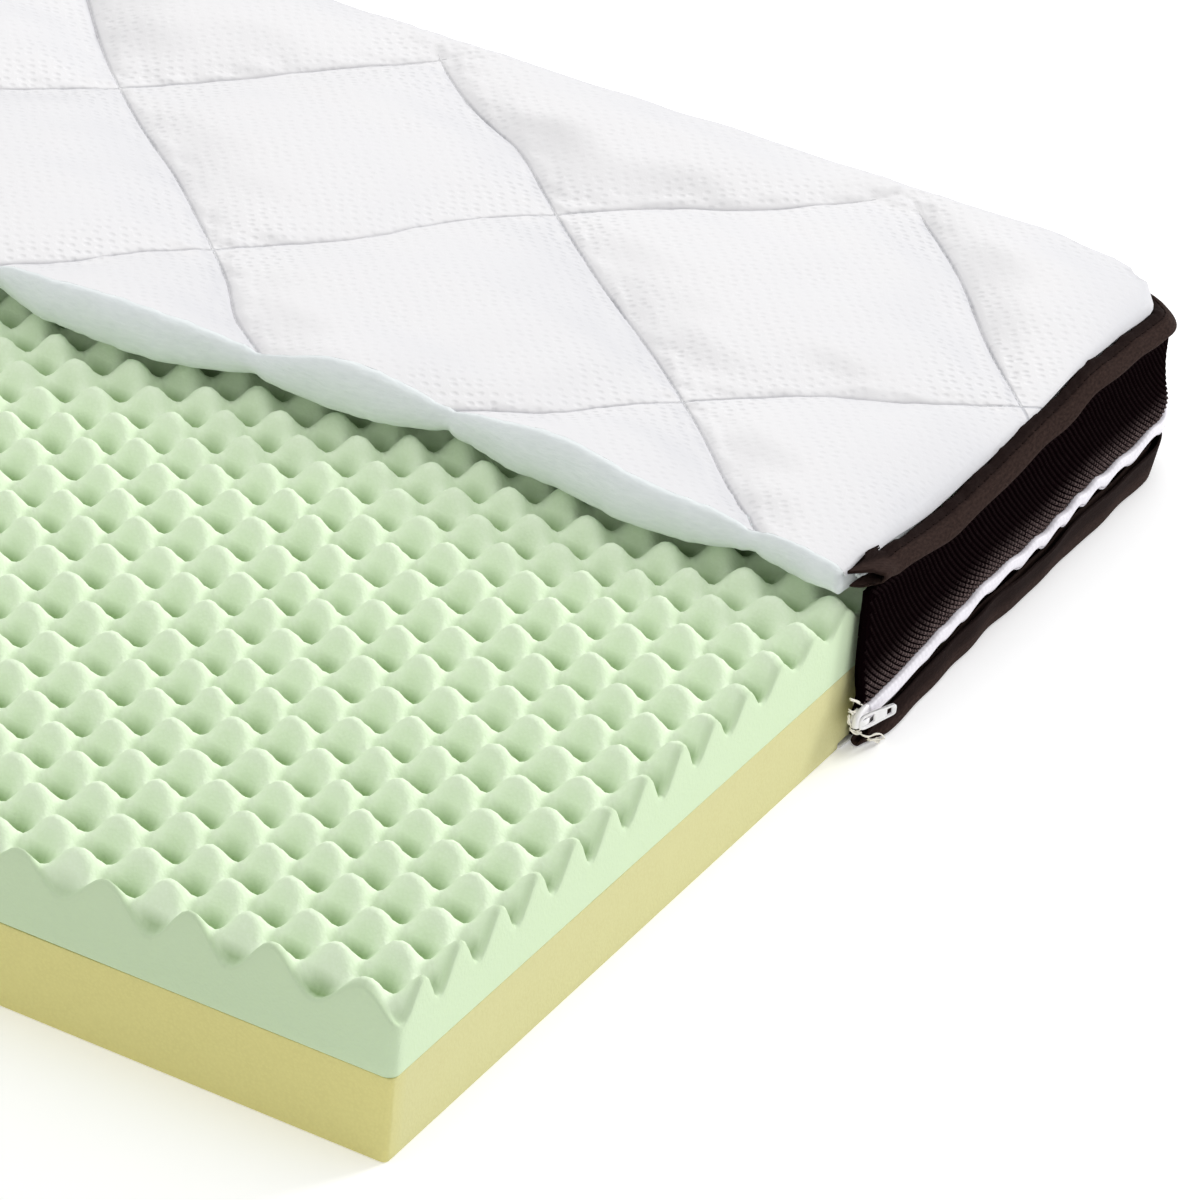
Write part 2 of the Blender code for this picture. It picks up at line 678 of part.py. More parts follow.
def build_all():
    clear_scene()
    parts = bpy.data.collections.new("mattress_topper")
    cutters = bpy.data.collections.new("cutters")
    for collection in (parts, cutters):
        bpy.context.scene.collection.children.link(collection)
    materials = {
        "base foam": make_material("base foam", "E0DAA4", 0.85),
        "comfort foam": make_material("comfort foam", "C8DDB8", 0.85),
        "quilted knit": make_material("quilted knit", "F0F0F2", 0.9),
        "bottom cloth": make_material("bottom cloth", "E4E4E2", 0.9),
        "binding": make_material("binding", "3E2E2C", 0.75),
        "mesh": make_material("mesh", "2A1F22", 0.7),
        "zip tape": make_material("zip tape", "E6E2D2", 0.8),
        "zip coil": make_material("zip coil", "EBE8EC", 0.45),
        "slider": make_material("slider", "E9E7E6", 0.35),
    }
    build_base_foam(materials["base foam"], parts, cutters)
    build_comfort_foam(materials["comfort foam"], parts)
    build_cover_top(materials["quilted knit"], parts)
    build_cover_bottom(materials["bottom cloth"], parts)
    build_border(materials, parts)
    build_slider(materials["slider"], parts, cutters)
    build_pull(materials["slider"], parts)


build_all()
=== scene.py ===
# %% [markdown]
# # A cot mattress topper, cut open to show its layers
#
# The real thing is two glued foam slabs inside a zipped cover. The near half of the cover is cut
# away, so the egg-crate foam is bare there, and the far half shows the quilted knit, the mesh side
# band, two bound seams and the zip. Each piece below is one thing that a maker cuts or sews.
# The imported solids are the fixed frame: every piece here lies where its solid lies.

from math import cos, hypot, pi, radians, sin, sqrt, tau
from typing import NamedTuple

import bmesh
import bpy
import numpy as np
from mathutils import Matrix, Vector


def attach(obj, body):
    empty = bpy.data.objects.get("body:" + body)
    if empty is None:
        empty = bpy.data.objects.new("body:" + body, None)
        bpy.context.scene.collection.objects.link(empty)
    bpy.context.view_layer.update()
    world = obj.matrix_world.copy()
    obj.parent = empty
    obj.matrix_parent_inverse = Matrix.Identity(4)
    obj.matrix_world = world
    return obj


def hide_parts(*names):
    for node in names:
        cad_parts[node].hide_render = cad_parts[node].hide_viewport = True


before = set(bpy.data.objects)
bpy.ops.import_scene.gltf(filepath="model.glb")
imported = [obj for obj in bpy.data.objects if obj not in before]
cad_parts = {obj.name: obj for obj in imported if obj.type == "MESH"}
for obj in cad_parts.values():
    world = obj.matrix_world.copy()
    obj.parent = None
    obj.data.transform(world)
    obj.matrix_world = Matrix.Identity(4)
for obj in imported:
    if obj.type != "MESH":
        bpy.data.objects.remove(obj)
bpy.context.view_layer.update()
print("nodes:", sorted(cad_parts))

# %% [markdown]
# ## Sizes
#
# A pattern cutter starts from a size sheet. These are the driving sizes of the topper in metres,
# the same ones that the solids were built from.

# %% Driving sizes
MM = 0.001

WIDTH = 600 * MM
LENGTH = 1200 * MM
BASE_HEIGHT = 33 * MM
PRESSED_HEIGHT = 66.5 * MM      # top of the comfort foam deep under the cover
HIDDEN_CORNER = 26 * MM
GAP = 0.3 * MM

CUT_X = 27 * MM                 # where the border is cut
SIDE_BULGE = 6 * MM
SIDE_CORNER = 26 * MM
PANEL_EDGE = 2.6 * MM           # the top panel stops this far inside the border's line
PANEL_UNDERSIDE = PRESSED_HEIGHT + GAP
PANEL_CUT_X = CUT_X - 4 * MM    # cut edge of the bottom panel
PANEL_OUT = 1.2 * MM
PANEL_THICKNESS = 2 * MM
FREE_END = 7 * MM               # zip tape and top binding stick out past the cut

FAR_X = WIDTH / 2 + SIDE_BULGE
CORNER_X = FAR_X - SIDE_CORNER
CORNER_Y = -LENGTH / 2 + SIDE_CORNER
END_RUN = CORNER_X - CUT_X
CORNER_RUN = SIDE_CORNER * pi / 2
LONG_RUN = LENGTH - 2 * SIDE_CORNER
BORDER_LENGTH = 2 * (END_RUN + CORNER_RUN) + LONG_RUN
print(f"border runs {BORDER_LENGTH:.3f} m from cut to cut")


# %% [markdown]
# ## Tables of the border and the cut edge
#
# Cloth is uneven, so a few sizes change along it. A short table gives them at some places, and a
# smooth step leads from each row to the next.

# %% Tables with named columns
class Section(NamedTuple):
    """Heights and reach of the border in mm, at a distance along it from the cut."""
    along: float
    seam: float     # middle of the top binding
    zip: float      # middle of the zip
    foot: float     # how far the bottom binding flares out


BORDER_RUN = (
    Section(along=0, seam=71.0, zip=16.0, foot=6.5),
    Section(along=18, seam=70.0, zip=16.8, foot=11.0),
    Section(along=63, seam=65.8, zip=21.0, foot=9.0),
    Section(along=103, seam=66.8, zip=24.0, foot=7.5),
    Section(along=148, seam=69.3, zip=23.0, foot=7.0),
    Section(along=188, seam=72.8, zip=25.5, foot=7.0),
    Section(along=223, seam=71.8, zip=24.5, foot=6.8),
    Section(along=250, seam=69.6, zip=25.5, foot=6.6),
    Section(along=276, seam=65.2, zip=25.5, foot=6.6),
    Section(along=310, seam=64.6, zip=25.0, foot=6.6),
)


class CutPoint(NamedTuple):
    """A point of the top panel's cut edge, in mm; both halves of the length are alike."""
    from_end: float
    x: float
    lift: float     # the released cloth stands this much higher


CUT_EDGE = (
    CutPoint(from_end=0, x=18, lift=0),
    CutPoint(from_end=43, x=22, lift=0),
    CutPoint(from_end=90, x=20, lift=0),
    CutPoint(from_end=130, x=27, lift=1),
    CutPoint(from_end=171, x=30, lift=1),
    CutPoint(from_end=215, x=25, lift=6),
    CutPoint(from_end=262, x=22, lift=1),
    CutPoint(from_end=310, x=16, lift=1),
    CutPoint(from_end=345, x=17, lift=0),
    CutPoint(from_end=374, x=21, lift=0),
    CutPoint(from_end=600, x=20, lift=0),
)


def smoothstep(t):
    t = np.clip(t, 0.0, 1.0)
    return t * t * (3 - 2 * t)


def mix(first, second, share):
    return first + (second - first) * share


def read_table(rows, column, position):
    """One column of a table at any positions, which are its first column."""
    table = np.array(rows, float)
    marks, values = table[:, 0], table[:, rows[0]._fields.index(column)]
    row = np.clip(np.searchsorted(marks, position) - 1, 0, len(marks) - 2)
    share = smoothstep((position - marks[row]) / (marks[row + 1] - marks[row]))
    return mix(values[row], values[row + 1], share)


def section(column, along):
    """A column of BORDER_RUN in mm, for distances in metres; both cut ends are alike."""
    return read_table(BORDER_RUN, column, np.minimum(along, BORDER_LENGTH - along) / MM)


print("seam height at the cut, mm:", section("seam", np.array([0.0]))[0])


# %% Unevenness
def unevenness(x, y, length, seed):
    """Smooth random waves with a spread of about 1 and lumps about `length` metres across."""
    draw = np.random.default_rng(seed)
    waves = 14
    total = np.zeros(np.broadcast(x, y).shape)
    for turn, phase, stretch in zip(draw.uniform(0, tau, waves), draw.uniform(0, tau, waves),
                                    draw.uniform(0.8, 2.2, waves)):
        total += np.sin(tau * (x * cos(turn) + y * sin(turn)) / (length * stretch) + phase)
    return total / sqrt(waves / 2)


# %% [markdown]
# ## The border's path
#
# The side band, both bindings and the zip run round the covered half in one line: from the cut
# along the near end, round the corner, along the far long side and back. One function gives the
# place and the outward direction at any distance along that line.

# %% Path of the border
def border_frame(along):
    """x, y, and outward x, y, at distances from the cut."""
    mirrored = along > BORDER_LENGTH / 2
    s = np.where(mirrored, BORDER_LENGTH - along, along)
    angle = np.clip((s - END_RUN) / SIDE_CORNER, 0, pi / 2)
    out_x, out_y = np.sin(angle), -np.cos(angle)
    x = CORNER_X + SIDE_CORNER * out_x + np.minimum(s - END_RUN, 0)
    y = CORNER_Y + SIDE_CORNER * out_y + np.maximum(s - END_RUN - CORNER_RUN, 0)
    side = np.where(mirrored, -1.0, 1.0)
    return x, y * side, out_x, out_y * side


def on_border(along, line):
    """Points in metres from (out, height) in mm, at distances along the border."""
    x, y, out_x, out_y = border_frame(along)
    out, height = line[..., 0] * MM, line[..., 1] * MM
    return np.stack((x + out_x * out, y + out_y * out, height), axis=-1)


def smooth_curve(points, count):
    """`count` points on a smooth curve through (..., n, 2) points."""
    points = np.asarray(points, float)
    last = points.shape[-2] - 1
    place = np.linspace(0, last, count)
    i = np.minimum(place.astype(int), last - 1)
    t = (place - i)[:, None]
    before, after = np.maximum(i - 1, 0), np.minimum(i + 2, last)
    a, b, c, d = (points[..., k, :] for k in (before, i, i + 1, after))
    return 0.5 * (2 * b + (c - a) * t + (2 * a - 5 * b + 4 * c - d) * t ** 2
                  + (3 * b - a - 3 * c + d) * t ** 3)


def normals_of(line):
    """Unit normals of (..., n, 2) lines, to the left of their direction."""
    step = np.gradient(line, axis=-2)
    step /= np.linalg.norm(step, axis=-1, keepdims=True)
    return np.stack((-step[..., 1], step[..., 0]), axis=-1)


# %% [markdown]
# ## Mesh helpers
#
# Cloth strips are lofts: a ring of points at each station along the path, joined by quads. Every
# strip keeps a `weave` attribute with the metres along it and across it, so that its material can
# follow the cloth round bends where a pattern in object coordinates would cut through it.

# %% Mesh helpers
def new_object(name, data):
    """An object in the scene."""
    obj = bpy.data.objects.new(name, data)
    bpy.context.scene.collection.objects.link(obj)
    return obj


def store(mesh, name, values, kind="FLOAT", field="value"):
    """Keep a value for each point of a mesh."""
    mesh.attributes.new(name, kind, "POINT").data.foreach_set(field, values.reshape(-1))


def store_weave(mesh, weave):
    """Keep the metres along and across the cloth, and the share of its width."""
    store(mesh, "weave", weave, "FLOAT_VECTOR", "vector")


def points_of(mesh):
    """The points of a mesh, as an (n, 3) array."""
    points = np.empty(len(mesh.vertices) * 3)
    mesh.vertices.foreach_get("co", points)
    return points.reshape(-1, 3)


def mesh_object(name, points, faces, material, weave=None):
    """A smooth-shaded mesh object from arrays of points and faces."""
    mesh = bpy.data.meshes.new(name)
    mesh.from_pydata(points.reshape(-1, 3).tolist(), [], faces)
    mesh.materials.append(material)
    mesh.shade_smooth()
    if weave is not None:
        store_weave(mesh, weave)
    return new_object(name, mesh)


def turn_outwards(obj):
    """Make the faces of a closed mesh point out."""
    bm = bmesh.new()
    bm.from_mesh(obj.data)
    bmesh.ops.recalc_face_normals(bm, faces=bm.faces)
    bm.to_mesh(obj.data)
    bm.free()


def grid_quads(index, wrap=False):
    """Quads between the neighbours of a 2D array of point numbers."""
    right = np.roll(index, -1, axis=1) if wrap else index[:, 1:]
    left = index if wrap else index[:, :-1]
    return np.stack((left[:-1], right[:-1], right[1:], left[1:]), axis=-1).reshape(-1, 4).tolist()


def closed_loft(name, rings, material, weave):
    """A closed mesh over (stations, ring points, 3), with a cap at both ends."""
    index = np.arange(rings.shape[0] * rings.shape[1]).reshape(rings.shape[:2])
    faces = grid_quads(index, wrap=True) + [index[0].tolist(), index[-1].tolist()]
    obj = mesh_object(name, rings, faces, material, weave)
    turn_outwards(obj)
    return obj


def report(obj):
    """Let a finished piece ride on the part's only body, and print its size."""
    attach(obj, "root")
    obj.data.calc_loop_triangles()
    print(f"{obj.name}: {len(obj.data.loop_triangles)} triangles, "
          f"{[round(side / MM, 1) for side in obj.dimensions]} mm")


# %% Cloth strips along the border
def stations(start, step):
    """Even distances along the border; the far end mirrors the start."""
    count = int((BORDER_LENGTH - 2 * start) / step)
    return np.linspace(start, BORDER_LENGTH - start, count)


def profile(*pairs):
    """Control points (stations, n, 2) from (out, height) pairs in mm; heights go by station."""
    return np.stack([np.stack(np.broadcast_arrays(*pair), axis=-1) for pair in pairs], axis=1)


def strip(name, along, line, thickness, material):
    """Thick cloth over (stations, n, 2) lines of (out, height) in mm; its outer face is left."""
    ring = np.concatenate((line, (line - normals_of(line) * thickness)[:, ::-1]), axis=1)
    rings = on_border(along[:, None], ring)
    across = np.cumsum(np.linalg.norm(np.diff(line, axis=1, prepend=line[:, :1]), axis=-1), axis=1)
    across = np.concatenate((across, across[:, ::-1]), axis=1) * MM
    width = across.max(axis=1, keepdims=True)
    run = np.broadcast_to(along[:, None], across.shape)
    weave = np.stack((run, across, across / width), axis=-1)
    return closed_loft(name, rings, material, weave)


# %% [markdown]
# ## Materials
#
# Colours are read off as sRGB hex values, but shaders work in linear light, so one function
# converts them. One more function adds a shader node with its settings and its links.

# %% Colour and node helpers
def linear_rgba(hex_colour):
    """sRGB hex to the linear values that shaders use."""
    channels = [int(hex_colour[i:i + 2], 16) / 255 for i in (0, 2, 4)]
    return (*[c / 12.92 if c <= 0.04045 else ((c + 0.055) / 1.055) ** 2.4 for c in channels], 1)


def add_node(tree, kind, sockets=None, **settings):
    """Add a node; `sockets` maps inputs to values, outputs, or nodes for their first output."""
    node = tree.nodes.new(kind)
    for name, value in settings.items():
        setattr(node, name, value)
    for socket, value in (sockets or {}).items():
        if isinstance(value, bpy.types.Node):
            value = value.outputs[0]
        if isinstance(value, bpy.types.NodeSocket):
            tree.links.new(value, node.inputs[socket])
        else:
            node.inputs[socket].default_value = value
    return node


def new_material(name, **fixed):
    """A material with its Principled sockets set; returns it, its tree and its shader."""
    material = bpy.data.materials.new(name)
    material.use_nodes = True
    shader = material.node_tree.nodes["Principled BSDF"]
    for socket, value in fixed.items():
        shader.inputs[socket.replace("_", " ")].default_value = value
    return material, material.node_tree, shader


def finish_material(tree, shader, share, low, high, height, distance, strength=1.0):
    """Mix two colours by a share, and add a bump whose full height is `distance` metres."""
    colour = add_node(tree, "ShaderNodeMix", {0: share, 6: low, 7: high}, data_type="RGBA")
    tree.links.new(colour.outputs[2], shader.inputs["Base Color"])
    if distance:
        bump = add_node(tree, "ShaderNodeBump",
                        {"Height": height, "Distance": distance, "Strength": strength})
        tree.links.new(bump.outputs["Normal"], shader.inputs["Normal"])


# %% [markdown]
# ### Cut polyurethane foam
#
# Both slabs are open-cell polyurethane foam, dyed through and cut on a machine. The cells are
# about 0.4 mm wide. A cut face is matt, with a faint grain and a few larger pores, and light
# bounces about in it. The cells are drawn about three times as coarse as they are, because they
# would be lost in the render otherwise. Shade is painted into the colour as a deeper tint: a little
# on the cut walls, more on the long side than on the end, and most in the pits.

# %% Foam
FOAM_CELL = 0.4 * MM
DRAWN_CELL = 3 * FOAM_CELL


def foam_material(name, body_colour, pore_colour, painted_shade_colour):
    """Foam with painted shade: the body colour goes towards the shade colour by the `depth` that its
    mesh stores, from 0 to 1.
    """
    material, tree, shader = new_material(name, Roughness=0.92, IOR=1.45, Specular_IOR_Level=0.2)
    place = add_node(tree, "ShaderNodeTexCoord").outputs["Object"]
    cells = add_node(tree, "ShaderNodeTexVoronoi", {"Vector": place, "Scale": 1 / DRAWN_CELL})
    mottle = add_node(tree, "ShaderNodeTexNoise",
                      {"Vector": place, "Scale": 1 / (9 * MM), "Detail": 4})
    pore = add_node(tree, "ShaderNodeMapRange", {"Value": cells, "From Min": 0.15, "From Max": 0.75})
    share = add_node(tree, "ShaderNodeMath", {0: mottle, 1: 0.22}, operation="MULTIPLY")
    shade = add_node(tree, "ShaderNodeMath", {0: pore, 1: share}, operation="MULTIPLY")
    # Painted shade: the stored `depth` mixes the body colour towards the shade colour.
    depth = add_node(tree, "ShaderNodeAttribute", attribute_name="depth").outputs["Fac"]
    body = add_node(tree, "ShaderNodeMix", {0: depth, 6: linear_rgba(body_colour),
                                            7: linear_rgba(painted_shade_colour)}, data_type="RGBA")
    finish_material(tree, shader, shade, body.outputs[2], linear_rgba(pore_colour),
                    cells, 0.18 * MM, 0.5)
    return material


# The last colour of each foam is its painted shade.
yellow_foam = foam_material("cut polyurethane foam, yellow", "D3D09C", "BFB578", "E0D992")
green_foam = foam_material("cut polyurethane foam, mint green", "EAFADD", "CFE5B4", "5C8A2A")
print("foam materials:", yellow_foam.name, "/", green_foam.name)

# %% [markdown]
# ### Double knit with dimples
#
# The top panel's face is a white polyester double knit. It has a small dimple pattern, about 5 mm
# from dimple to dimple, and each dimple is painted as a short dark dash of shade. Towards a quilting
# line the knit is pulled in and the dimples are deeper, with more painted shade. The crease of a line
# is painted darker as shade too, and grey is painted on as shade where the knit leans out towards a
# sewn edge. The mesh stores how far each point is from a line, and how it leans.

# %% Quilted knit
DIMPLE_PITCH = 5.2 * MM
DIMPLE_NARROW = 1.35            # the rows lie this much closer than the dashes in a row
DIMPLE_TURN = radians(50)


def knit_material():
    material, tree, shader = new_material("polyester double knit, white", Roughness=0.85,
                                          Sheen_Weight=0.15, Sheen_Roughness=0.5,
                                          Specular_IOR_Level=0.25)
    slack, away, painted_lean_shade = (add_node(tree, "ShaderNodeAttribute", attribute_name=name).outputs["Fac"]
                          for name in ("dimple_depth_and_shade", "line_distance", "painted_lean_shade"))
    place = add_node(tree, "ShaderNodeTexCoord").outputs["Object"]
    turned = add_node(tree, "ShaderNodeMapping", {"Vector": place, "Rotation": (0, 0, DIMPLE_TURN)})
    flat = add_node(tree, "ShaderNodeVectorMath",
                    {0: turned, 1: (1.0, DIMPLE_NARROW, 0.0)}, operation="MULTIPLY")
    dimples = add_node(tree, "ShaderNodeTexVoronoi",
                       {"Vector": flat, "Scale": 1 / DIMPLE_PITCH, "Randomness": 0.4},
                       voronoi_dimensions="2D")
    dash = add_node(tree, "ShaderNodeMapRange",
                    {"Value": dimples, "From Min": 0.05, "From Max": 0.4,
                     "To Min": 1.0, "To Max": 0.0}, interpolation_type="SMOOTHSTEP")
    patchy = add_node(tree, "ShaderNodeTexNoise",
                      {"Vector": place, "Scale": 1 / (30 * MM), "Detail": 3})
    patches = add_node(tree, "ShaderNodeMapRange",
                       {"Value": patchy, "From Min": 0.38, "From Max": 0.66,
                        "To Min": 0.35, "To Max": 1.0})
    depth = add_node(tree, "ShaderNodeMath", {0: slack, 1: patches}, operation="MULTIPLY")
    dent = add_node(tree, "ShaderNodeMath", {0: dash, 1: depth}, operation="MULTIPLY")
    stitch = add_node(tree, "ShaderNodeTexNoise",
                      {"Vector": place, "Scale": 1 / (0.9 * MM), "Detail": 1})
    grain = add_node(tree, "ShaderNodeMath", {0: stitch, 1: 0.16}, operation="MULTIPLY")
    # The crease of a quilting line, from the distance to the nearest one; it dents the bump and is
    # painted darker as shade.
    crease = add_node(tree, "ShaderNodeMapRange",
                      {"Value": away, "From Min": 0.1 * MM, "From Max": 1.1 * MM,
                       "To Min": 1.0, "To Max": 0.0}, interpolation_type="SMOOTHSTEP")
    low = add_node(tree, "ShaderNodeMath", {0: dent, 1: crease}, operation="ADD")
    height = add_node(tree, "ShaderNodeMath", {0: grain, 1: low}, operation="SUBTRACT")
    # The dark dash of a dimple and the crease of a line are painted shade in the colour.
    painted_dimple_shade = add_node(tree, "ShaderNodeMath", {0: dent, 1: 0.11}, operation="MULTIPLY")
    painted_crease_shade = add_node(tree, "ShaderNodeMath", {0: crease, 1: patches}, operation="MULTIPLY")
    shade = add_node(tree, "ShaderNodeMath", {0: painted_crease_shade, 1: 0.45, 2: painted_dimple_shade},
                     operation="MULTIPLY_ADD")
    # Grey painted on as shade where the knit leans outwards, and a little everywhere.
    painted_shade_total = add_node(tree, "ShaderNodeMath", {0: painted_lean_shade, 1: 1.05, 2: shade},
                         operation="MULTIPLY_ADD")
    finish_material(tree, shader, painted_shade_total, linear_rgba("F3F2F3"), linear_rgba("A9ABB2"),
                    height, 0.5 * MM, 0.55)
    return material


quilted_knit = knit_material()


# %% [markdown]
# ### Batting, thin cloth and thread
#
# Batting is a loose mat of white polyester fibre. Its cut edge is soft, matt and slightly grey,
# with a fine fibre grain along the cut. The thin cloth below the foam is a plain white weave.

# %% Batting and other white cloth
def grained_material(name, low, high, grain, bump_height, stretch=(1, 1, 1),
                     detail=5, noise_roughness=0.6, **fixed):
    """Stuff between two colours whose grain may be longer one way."""
    material, tree, shader = new_material(name, **fixed)
    place = add_node(tree, "ShaderNodeTexCoord").outputs["Object"]
    pulled = add_node(tree, "ShaderNodeVectorMath", {0: place, 1: stretch}, operation="MULTIPLY")
    noise = add_node(tree, "ShaderNodeTexNoise", {"Vector": pulled, "Scale": 1 / grain,
                                                  "Detail": detail, "Roughness": noise_roughness})
    finish_material(tree, shader, noise, linear_rgba(low), linear_rgba(high), noise, bump_height)
    return material


FIBRE = {"Roughness": 0.95, "Specular_IOR_Level": 0.15, "Sheen_Weight": 0.2}

batting_fibre = grained_material("polyester batting, white", "DAE1E2", "EEF3F3", 2.2 * MM,
                                 0.3 * MM, stretch=(1.0, 0.35, 1.6), **FIBRE)
thin_cloth = grained_material("plain woven polyester, off-white", "DCDCDA", "EFEFED", 0.7 * MM,
                              0.15 * MM, **FIBRE)
cream_tape = grained_material("woven polyester zip tape, cream", "DDD8C8", "F2EFE6", 0.8 * MM,
                              0.2 * MM, **FIBRE)
white_thread = grained_material("spun polyester thread, white", "E2E2E4", "F5F5F5", 0.5 * MM,
                                0.1 * MM, **FIBRE)


# %% [markdown]
# ### Binding tape and spacer mesh
#
# The binding is a dark brown brushed tape: matt, with short fibres that catch light at a glancing
# angle. The side band is a spacer mesh, a thick breathing knit with ribs across the band every
# 3.2 mm that lean to one side, and rows of small open stitches, which look like lighter dots. The
# upper part of each rib is painted dark, as the shade under the top binding.

# %% Dark cloth
RIB_PITCH = 3.2 * MM
MESH_STITCH = 1.4 * MM


def binding_material():
    material, tree, shader = new_material("brushed polyester binding, dark brown", Roughness=0.8,
                                          Sheen_Weight=0.02, Sheen_Roughness=0.45,
                                          Sheen_Tint=linear_rgba("B79C90"), Specular_IOR_Level=0.02)
    weave = add_node(tree, "ShaderNodeAttribute", attribute_name="weave").outputs["Vector"]
    brushed = add_node(tree, "ShaderNodeVectorMath",
                       {0: weave, 1: (0.5, 1.0, 0.0)}, operation="MULTIPLY")
    nap = add_node(tree, "ShaderNodeTexNoise",
                   {"Vector": brushed, "Scale": 1 / (1.1 * MM), "Detail": 4})
    # The sewn part is darker than the fold.
    apart = add_node(tree, "ShaderNodeSeparateXYZ", {0: weave})
    fold = add_node(tree, "ShaderNodeMapRange",
                    {"Value": apart.outputs["Z"], "From Min": 0.16, "From Max": 0.36,
                     "To Min": 0.25, "To Max": 1.0}, interpolation_type="SMOOTHSTEP")
    share = add_node(tree, "ShaderNodeMath", {0: nap, 1: fold}, operation="MULTIPLY")
    finish_material(tree, shader, share, linear_rgba("120A0A"), linear_rgba("43342F"),
                    nap, 0.3 * MM)
    return material


def mesh_material():
    material, tree, shader = new_material("polyester spacer mesh, dark brown", Roughness=0.85,
                                          Specular_IOR_Level=0.0)
    weave = add_node(tree, "ShaderNodeAttribute", attribute_name="weave").outputs["Vector"]
    apart = add_node(tree, "ShaderNodeSeparateXYZ", {0: weave})
    wave = add_node(tree, "ShaderNodeMath", {0: apart.outputs["Y"], 1: tau / MESH_STITCH},
                    operation="MULTIPLY")
    dots = add_node(tree, "ShaderNodeMath", {0: wave}, operation="SINE")
    yarn = add_node(tree, "ShaderNodeTexNoise",
                    {"Vector": weave, "Scale": 1 / (0.8 * MM), "Detail": 2})
    lit = add_node(tree, "ShaderNodeMath", {0: dots, 1: 0.15, 2: yarn}, operation="MULTIPLY_ADD")
    share = add_node(tree, "ShaderNodeMapRange", {"Value": lit, "From Min": 0.3, "From Max": 0.85})
    # Only the ribs store how much of their lighter yarn shows; their upper part is painted dark as
    # shade under the top binding. The ground between them stays black.
    painted_lit_share = add_node(tree, "ShaderNodeAttribute", attribute_name="painted_lit_share").outputs["Fac"]
    seen = add_node(tree, "ShaderNodeMath", {0: share, 1: painted_lit_share}, operation="MULTIPLY")
    finish_material(tree, shader, seen, linear_rgba("0D0507"), linear_rgba("7E6E6C"),
                    lit, 0.3 * MM)
    return material


brown_binding = binding_material()
dark_mesh = mesh_material()


# %% [markdown]
# ### Zip
#
# The coil lies with its back to the front, so its face is a smooth white tape with a faint fold
# near its lower edge; the fold's crease is painted darker as shade. The slider and its pull are
# zinc castings under white enamel.

# %% Zip materials
ZIP_RIB = 1.4 * MM
FOLD_PLACE = 0.72               # of the way down the face


def zip_face_material():
    material, tree, shader = new_material("reversed coil zip, white", Roughness=0.5,
                                          Specular_IOR_Level=0.4)
    weave = add_node(tree, "ShaderNodeAttribute", attribute_name="weave").outputs["Vector"]
    apart = add_node(tree, "ShaderNodeSeparateXYZ", {0: weave})
    away = add_node(tree, "ShaderNodeMath", {0: apart.outputs["Z"], 1: FOLD_PLACE},
                    operation="SUBTRACT")
    off = add_node(tree, "ShaderNodeMath", {0: away}, operation="ABSOLUTE")
    fold = add_node(tree, "ShaderNodeMapRange", {"Value": off, "From Min": 0.0, "From Max": 0.05,
                                                 "To Min": 1.0, "To Max": 0.0},
                    interpolation_type="SMOOTHSTEP")
    ribs = add_node(tree, "ShaderNodeTexWave",
                    {"Vector": weave, "Scale": 1 / ZIP_RIB / 6.28, "Distortion": 0.4},
                    bands_direction="X")
    grain = add_node(tree, "ShaderNodeMath", {0: ribs.outputs["Fac"], 1: 0.2},
                     operation="MULTIPLY")
    height = add_node(tree, "ShaderNodeMath", {0: grain, 1: fold}, operation="SUBTRACT")
    # The fold's crease is painted darker as shade; it also dents the bump.
    finish_material(tree, shader, fold, linear_rgba("E8E5EC"), linear_rgba("B3AEB8"),
                    height, 0.4 * MM)
    return material


zip_face = zip_face_material()
# Enamel has no fibres, but the same faint grain serves for its slight wear.
white_enamel = grained_material("enamelled zinc casting, white", "EAE8EA", "F8F7F8", 1.5 * MM,
                                0.05 * MM, detail=3, noise_roughness=0.5, Roughness=0.28, IOR=1.5,
                                Coat_Weight=0.4, Coat_Roughness=0.12)
print("materials:", len(bpy.data.materials))


# %% [markdown]
# ## The foam slabs
#
# A slab is cut from a block, so its walls are flat and its edges nearly sharp. Its mesh is a grid
# whose outline has round corners; from the outline rings of points go round the upper edge and
# down the wall. The top comes from a function of x and y, so one builder serves both slabs.

# %% Slab builder
def round_corner(x, y, x_end, side, half_y, radius):
    """Pull the grid corners at x_end in to an arc; side is +1 or -1 along x."""
    a = np.clip((side * (x - x_end) + radius) / radius, 0, 1)
    b = np.clip((np.abs(y) - half_y + radius) / radius, 0, 1)
    return (x + side * radius * (a * np.sqrt(1 - b * b / 2) - a),
            y + np.sign(y) * radius * (b * np.sqrt(1 - a * a / 2) - b))


def outline_of(index):
    """Point numbers round the rim of a grid, anticlockwise."""
    return np.concatenate((index[0, :-1], index[:-1, -1], index[-1, :0:-1], index[:0:-1, 0]))


EDGE_STEPS = 4
FOOT_STEPS = 2


def wall_rings(x, y, top, bottom, edge, foot, levels):
    """Rings from the grid's rim, round the upper edge, down the wall and round the foot."""
    step_x = np.roll(x, -1) - np.roll(x, 1)
    step_y = np.roll(y, -1) - np.roll(y, 1)
    size = np.hypot(step_x, step_y)
    out_x, out_y = step_y / size, -step_x / size
    rings = []
    for k in range(1, EDGE_STEPS + 1):
        angle = pi / 2 * k / EDGE_STEPS
        rings.append((edge * sin(angle), top - edge * (1 - cos(angle))))
    for k in range(1, levels):
        rings.append((edge, mix(top - edge, bottom + foot, k / levels)))
    for k in range(FOOT_STEPS + 1):
        angle = pi / 2 * k / FOOT_STEPS
        rings.append((edge - foot * (1 - cos(angle)), bottom + foot * (1 - sin(angle))))
    return [np.stack((x + out_x * out, y + out_y * out, height), axis=-1)
            for out, height in rings]


